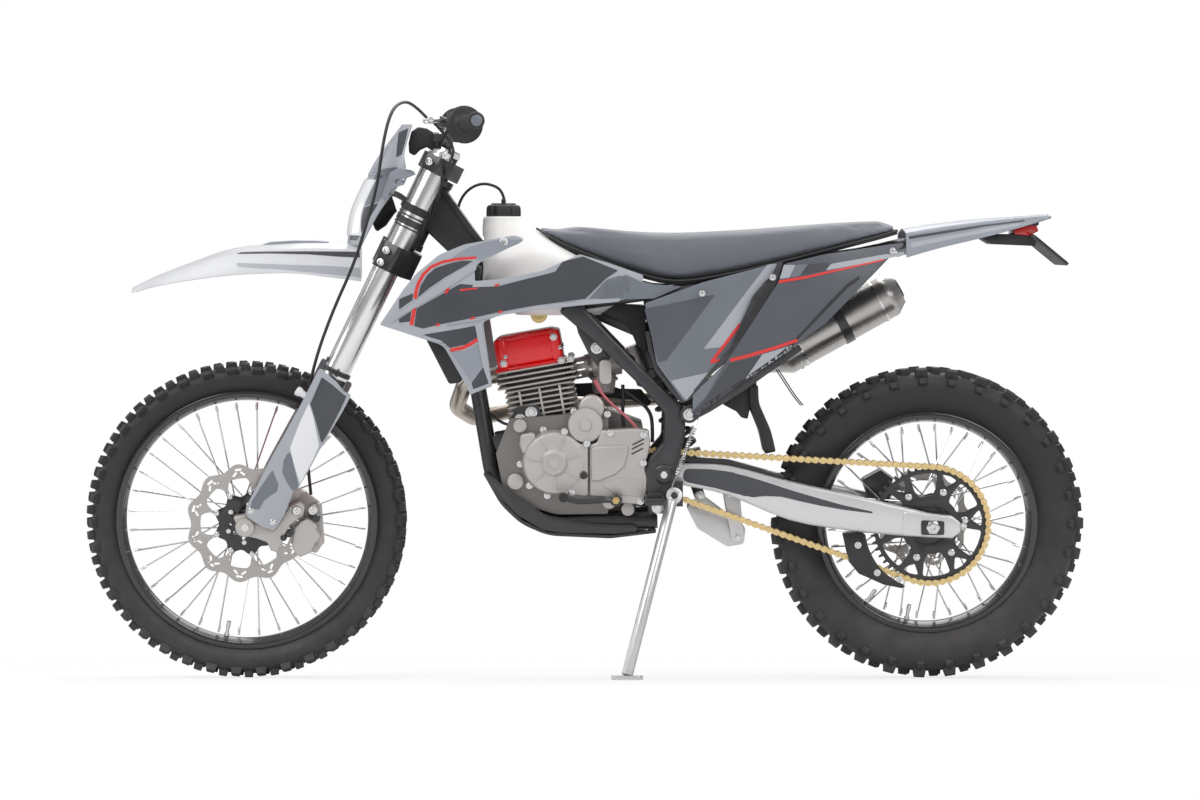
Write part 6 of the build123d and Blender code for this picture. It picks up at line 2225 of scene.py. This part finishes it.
def makeFrame():
    spars, collars = [], []
    for spar, ear in (((-130, -100), (-28, -19)), ((100, 130), (19, 28))):
        spars.append(slab(mainFrame["spar"], *spar, 11, round=9, segments=4))
        spars.append(slab(mainFrame["ear"], *ear, 1.5, segments=2))
    head = latheMesh(forkPoint(662), forkPoint(828), [(0, 20), (0.6, 29), (14, 29), (16, 27), (150, 27),
        (152, 29), (165.4, 29), (166, 20)], 40)
    gusset = slab(mainFrame["gusset"], -24, 24, 4, round=8)
    rib = shaped(plateMesh([ribbon([(430, 1068), (516, 948), (696, 842)], 12)], -29, 29),
        softEdges(2, 2, 50))
    cross = softBox((692, -104, 802), (742, 104, 846), 8)
    tubes = [barMesh((909, -137, 457), (909, 137, 457), 10), barMesh((896, -104, 386), (896, 104, 386), 13)]
    makePiece("frameBody", merged(head, gusset, rib, cross, *spars, *tubes), framePaint, ["frame"],
        smoothAngle=40)
    smoothedNode("cradleTubes", "cradle", 0.5, framePaint)
    smoothedNode("subframeTubes", "subframe", 0.5, framePaint)
    for x, z in mainFrame["collars"]:
        place = Matrix.Translation((x, -115, z)) @ Matrix.Rotation(radians(44), 4, "Y")
        collars.append(moved(softBox((-20, -17, -4), (20, 17, 4), 3, segments=2), place))
    makePiece("sparCollars", withMirror(merged(*collars)), satinBlack)
    plate = slab(mainFrame["plate"], -78, -70, 1.5, round=8, segments=2)
    front = slab(mainFrame["frontPlate"], -92, -84, 1.5, round=8, segments=2)
    makePiece("engineMountPlates", withMirror(merged(plate, front)), framePaint)
    nut = latheMesh((0, 0, 0), (0, 0, 1), [(0, 11), (1.6, 12), (2, 12), (2.1, 8.6), (9, 8.6), (10, 7.6),
        (10, 0.5)], 6)
    washer = latheMesh((0, 0, 0), (0, 0, 1), [(0, 12), (0.3, 13), (1.8, 13), (2, 12)], 28)
    spots = bothSides(mainFrame["plateBolts"], 79) + bothSides([(600, 572), (624, 588)], 92)
    spots += bothSides([(909, 457)], 136)
    ex, ez = (963, 587)
    spots += bothSides([(ex, ez)], 140)
    eye = lathedAcross(ex, ez, -112, -140, [(0, 17), (1, 19), (27, 19), (28, 17)], 36)
    makePiece("subframeEyes", withMirror(eye), framePaint)
    spots += bothSides([(896, 386)], 129)
    makePiece("frameBolts", merged(dotted(nut, spots), dotted(washer, spots)), brightSteel)
    cap = lathedAcross(909, 457, -133, -141, [(0, 18), (1, 21), (4, 21), (6, 17), (8, 16)], 32)
    makePiece("pivotCaps", withMirror(cap), framePaint)


# x, inner y, outer y, underside, top
armRows = [
    (886, 60, 92, 444, 478), (960, 63, 93, 428, 479), (1050, 66, 94, 408, 474), (1180, 72, 108, 356, 440),
    (1310, 92, 118, 334, 412), (1440, 95, 120, 322, 382), (1516, 96, 120, 318, 362),
]


def armOuter(x, z):
    # the outer face's y, the same at every height
    table = np.array(armRows, float)
    return -float(np.interp(x, table[:, 0], table[:, 2]))


def makeSwingarm():
    rings = []
    for x, inner, outer, low, high in between(armRows, 3):
        corner = 7
        ring = []
        for y, z, a in ((-outer, low, pi), (-inner, low, 1.5 * pi), (-inner, high, 0),
                (-outer, high, 0.5 * pi)):
            cy = y + (corner if y == -outer else -corner)
            cz = z + (corner if z == low else -corner)
            for n in range(4):
                t = a + n * pi / 6
                ring.append((x, cy + corner * cos(t), cz + corner * sin(t)))
        rings.append(ring)
    arm = loftMesh(rings)
    bridge = slab([(1030, 414), (1030, 468), (1100, 452), (1100, 404)], -70, 70, 4, round=10)
    hub = barMesh((909, -97, 457), (909, 97, 457), 17, 1, 40)
    end = slab([(1420, 324), (1424, 378), (1530, 366), (1548, 352), (1548, 332), (1530, 318)], -122, -93, 4,
        round=10)
    makePiece("swingarmBody", merged(withMirror(arm), bridge, hub, withMirror(end)), armAlloy, ["swingarm"],
        smoothAngle=40)
    inset = [(953, 467), (1009, 465), (1045, 461), (1087, 451), (1134, 437), (1187, 420), (1247, 403),
        (1294, 390), (1358, 376), (1358, 372), (1294, 380), (1247, 388), (1205, 397), (1162, 407),
        (1127, 408), (1102, 405), (1063, 413), (1023, 424), (984, 432), (950, 439)]
    printAndShadeFilm("swingarmInset", [inset], armOuter, slateGrey, 0.8, round=14)
    axleZ = stance["rearAxleHeight"]
    parts = [lathedAcross(1487, axleZ, side * 90, side * 134, [(0, 9), (0.5, 10), (30, 10), (30.2, 18),
        (34, 18), (34.2, 15), (43, 15), (44, 13.4), (44, 6), (38, 5.4)], 6 if side < 0 else 32)
        for side in (-1, 1)]
    parts.append(lathedAcross(1487, axleZ, -100, 100, [(0, 8), (0.3, 10), (199.7, 10), (200, 8)], 28))
    parts.append(lathedAcross(1487, axleZ, -100, -81, [(0, 11), (0.4, 15), (18.6, 15), (19, 11)], 28))
    parts.append(lathedAcross(1487, axleZ, 100, 82, [(0, 11), (0.4, 15), (17.6, 15), (18, 11)], 28))
    block = slab([(1462, 326), (1462, 358), (1512, 356), (1512, 326)], -126, -118, 1.5, round=5, segments=2)
    makePiece("rearAxleFittings", merged(*parts), brightSteel)
    makePiece("chainAdjusters", withMirror(block), satinBlack)
    adjuster = latheMesh((1544, -107, 342), (1562, -107, 342), [(0, 5), (6, 5), (6.2, 8.6), (12, 8.6),
        (12.2, 6), (18, 6)], 6)
    makePiece("adjusterBolts", withMirror(adjuster), brightSteel)
    smoothedNode("chainGuideBlock", "chain_guide", 3, mouldedBlack)
    screws = leftFacing(((1330, 300), (1372, 240), (1420, 226)), chainRun["y"] - 16)
    makePiece("guideScrews", headed(screws, caseScrew), brightSteel)
    slider = shaped(plateMesh([ribbon([(892, 488), (960, 486), (1050, 480), (1170, 446)], 9)], -92, -56),
        softEdges(2, 2, 50))
    makePiece("chainSlider", slider, mouldedBlack)


def coiled(start, end, radius, turns, detail):
    # points of a coil wound about a line
    place, length = lineFrame(start, end), (Vector(end) - Vector(start)).length
    return [place @ Vector((*polar(radius, 2 * pi * k / detail), length * k / (turns * detail)))
        for k in range(int(turns * detail) + 1)]


def makeSuspension():
    top, foot = (868, 0, 760), (990, 0, 400)
    rodPart = latheMesh(top, foot, [(0, 8), (1, 12), (379, 12), (380, 8)], 32)
    body = latheMesh((874, 0, 740), (902, 0, 660), [(0, 24), (1, 26), (60, 26), (62, 34), (70, 35),
        (80, 35), (84, 30)], 48)
    seat = latheMesh((957, 0, 496), (963, 0, 479), [(0, 30), (1, 35), (14, 35), (18, 26)], 48)
    coil = coiled((900, 0, 664), (962, 0, 482), 28.5, 7.5, 14)
    makePiece("shockBody", merged(rodPart, body, seat), satinBlack, ["shock"])
    makePiece("shockSpring", tubeMesh(coil, 5.4, 10, 4), satinBlack)
    can = latheMesh((842, 44, 728), (876, 44, 640), [(0, 14), (3, 21), (88, 21), (94, 14)], 32)
    makePiece("shockReservoir", can, castAlloy)
    smoothedNode("linkageArms", "linkage", 3, armAlloy)
    nuts = bothSides([(1056, 408), (1072, 312)], 45) + bothSides([(990, 400)], 35)
    makePiece("linkageBolts", headed(nuts, flangeBolt, 6), brightSteel)
    smoothedNode("rearCaliperBody", "rear_caliper", 3, satinBlack)
    flap = [Vector(p) for p in [(1105, 644), (1107, 605), (1119, 573), (1132, 541), (1142, 498)]]
    sheet = shaped(plateMesh([ribbon(between(flap, 5), 20, 1.2)], -58, 58), softEdges(3, 2, 50))
    makePiece("mudFlapSheet", sheet, mouldedBlack, ["mud_flap"])
    hugger = slab([(1113, 663), (1067, 633), (1037, 603), (1068, 587), (1079, 574), (1093, 570),
        (1097, 590), (1110, 622)], -46, 46, 3, round=5)
    makePiece("innerFender", hugger, mouldedBlack)


foot = {
    "skid": [
        (520, 458, 6), (558, 390, 120), (602, 348, 120), (660, 323, 120), (795, 317, 60), (893, 329, 4),
        (893, 336, 3), (796, 325, 20), (661, 331, 30), (607, 356, 30), (565, 396, 30), (529, 461, 4),
    ],
    "skidSide": [
        (525, 456), (547, 416), (596, 367), (650, 336), (687, 330), (803, 328), (855, 333), (848, 349),
        (816, 348), (756, 350), (711, 359), (657, 367), (583, 415), (534, 457),
    ],
    "peg": (889, 405),
    "shifter": [(806, -150, 404), (784, -159, 405), (749, -160, 402), (713, -161, 402), (694, -162, 412)],
}


def makeFootPieces():
    base = shaped(plateMesh([roundedOutline(foot["skid"], 8, 8)], -112, 112), softEdges(1.2, 2, 60))
    side = shaped(plateMesh([roundedOutline(foot["skidSide"], 70, 6)], -119, -112), softEdges(2.6, 3, 50))
    ribs = [softBox((640 + 62 * n, -96, 330), (648 + 62 * n, 96, 334), 0.8, segments=1) for n in range(4)]
    makePiece("skidPlateShell", merged(base, side, moved(side, mirrorRight), *ribs), satinBlack,
        ["skid_plate"], smoothAngle=40)
    px, pz = foot["peg"]
    pegs = [softBox((px - 22, -208, pz - 8), (px + 22, -150, pz + 3), 3, segments=2)]
    for n in range(6):
        for x in (px - 20, px + 16):
            pegs.append(boxMesh((x, -206 + 9 * n, pz + 2), (x + 4, -201 + 9 * n, pz + 10), 0.8))
    for n in range(2):
        pegs.append(boxMesh((px - 20, -206 + 50 * n, pz + 2), (px + 20, -202 + 50 * n, pz + 8), 0.8))
    pegs.append(softBox((px - 15, -154, pz - 10), (px + 15, -128, pz + 14), 3, segments=2))
    pegs.append(barMesh((px - 18, -140, pz + 2), (px + 18, -140, pz + 2), 6))
    makePiece("footpegPlates", withMirror(merged(*pegs)), satinBlack, ["footpegs"])
    lever = tubeMesh(foot["shifter"], 6, 14)
    toe = lathedAcross(694, 412, -156, -190, [(0, 6), (1, 9), (8, 9.6), (12, 8.6), (20, 9.6), (26, 8.6),
        (33, 9.6), (34, 7)], 24)
    boss = lathedAcross(806, 404, -128, -160, [(0, 10), (1, 13), (30, 13), (32, 10)], 28)
    pedal = tubeMesh([(870, 150, 372), (820, 156, 356), (760, 160, 356), (716, 162, 378), (692, 162, 398)],
        6.5, 14)
    pad = softBox((676, 154, 396), (712, 194, 406), 2, segments=2)
    hub = lathedAcross(870, 372, 128, 160, [(0, 10), (1, 14), (30, 14), (32, 10)], 28)
    makePiece("footLevers", merged(lever, boss, pedal, pad, hub), satinBlack, ["foot_levers"])
    makePiece("shifterToe", toe, softRubber)
    spots = leftFacing(((806, 404),), -160)
    makePiece("leverBolts", headed(spots, flangeBolt, 6), brassFit)
    spots = leftFacing(((1140, 880), (990, 846)), -141) + leftFacing(((1400, 936),), -96)
    makePiece("panelScrews", headed(spots, caseScrew), brightSteel)
    smoothedNode("standBracket", "stand_bracket", 2, framePaint)
    smoothedNode("standLeg", "side_stand", 2, armAlloy, "side_stand")


def makeSprings():
    # the side stand's return spring, its hooks on the frame and on the leg
    top, low = Vector((984, -140, 586)), Vector((925, -157, 430))
    start, end = top.lerp(low, 0.16), top.lerp(low, 0.84)
    route = [top, start] + coiled(start, end, 5.2, 20, 10) + [end, low]
    makePiece("standSpring", tubeMesh(route, 1.3, 6, 3), brightSteel)
    ties = []
    for shift in (0, 5):
        ties.append([(x + shift, -118, z) for x, z in [(1149, 682), (1170, 650), (1188, 622), (1203, 605)]])
    for n, route in enumerate(ties):
        laidCord("panelTie%d" % n, route, 1.3)


makeFrame()
makeSwingarm()
makeSuspension()
makeFootPieces()
makeSprings()
print("chassis made")
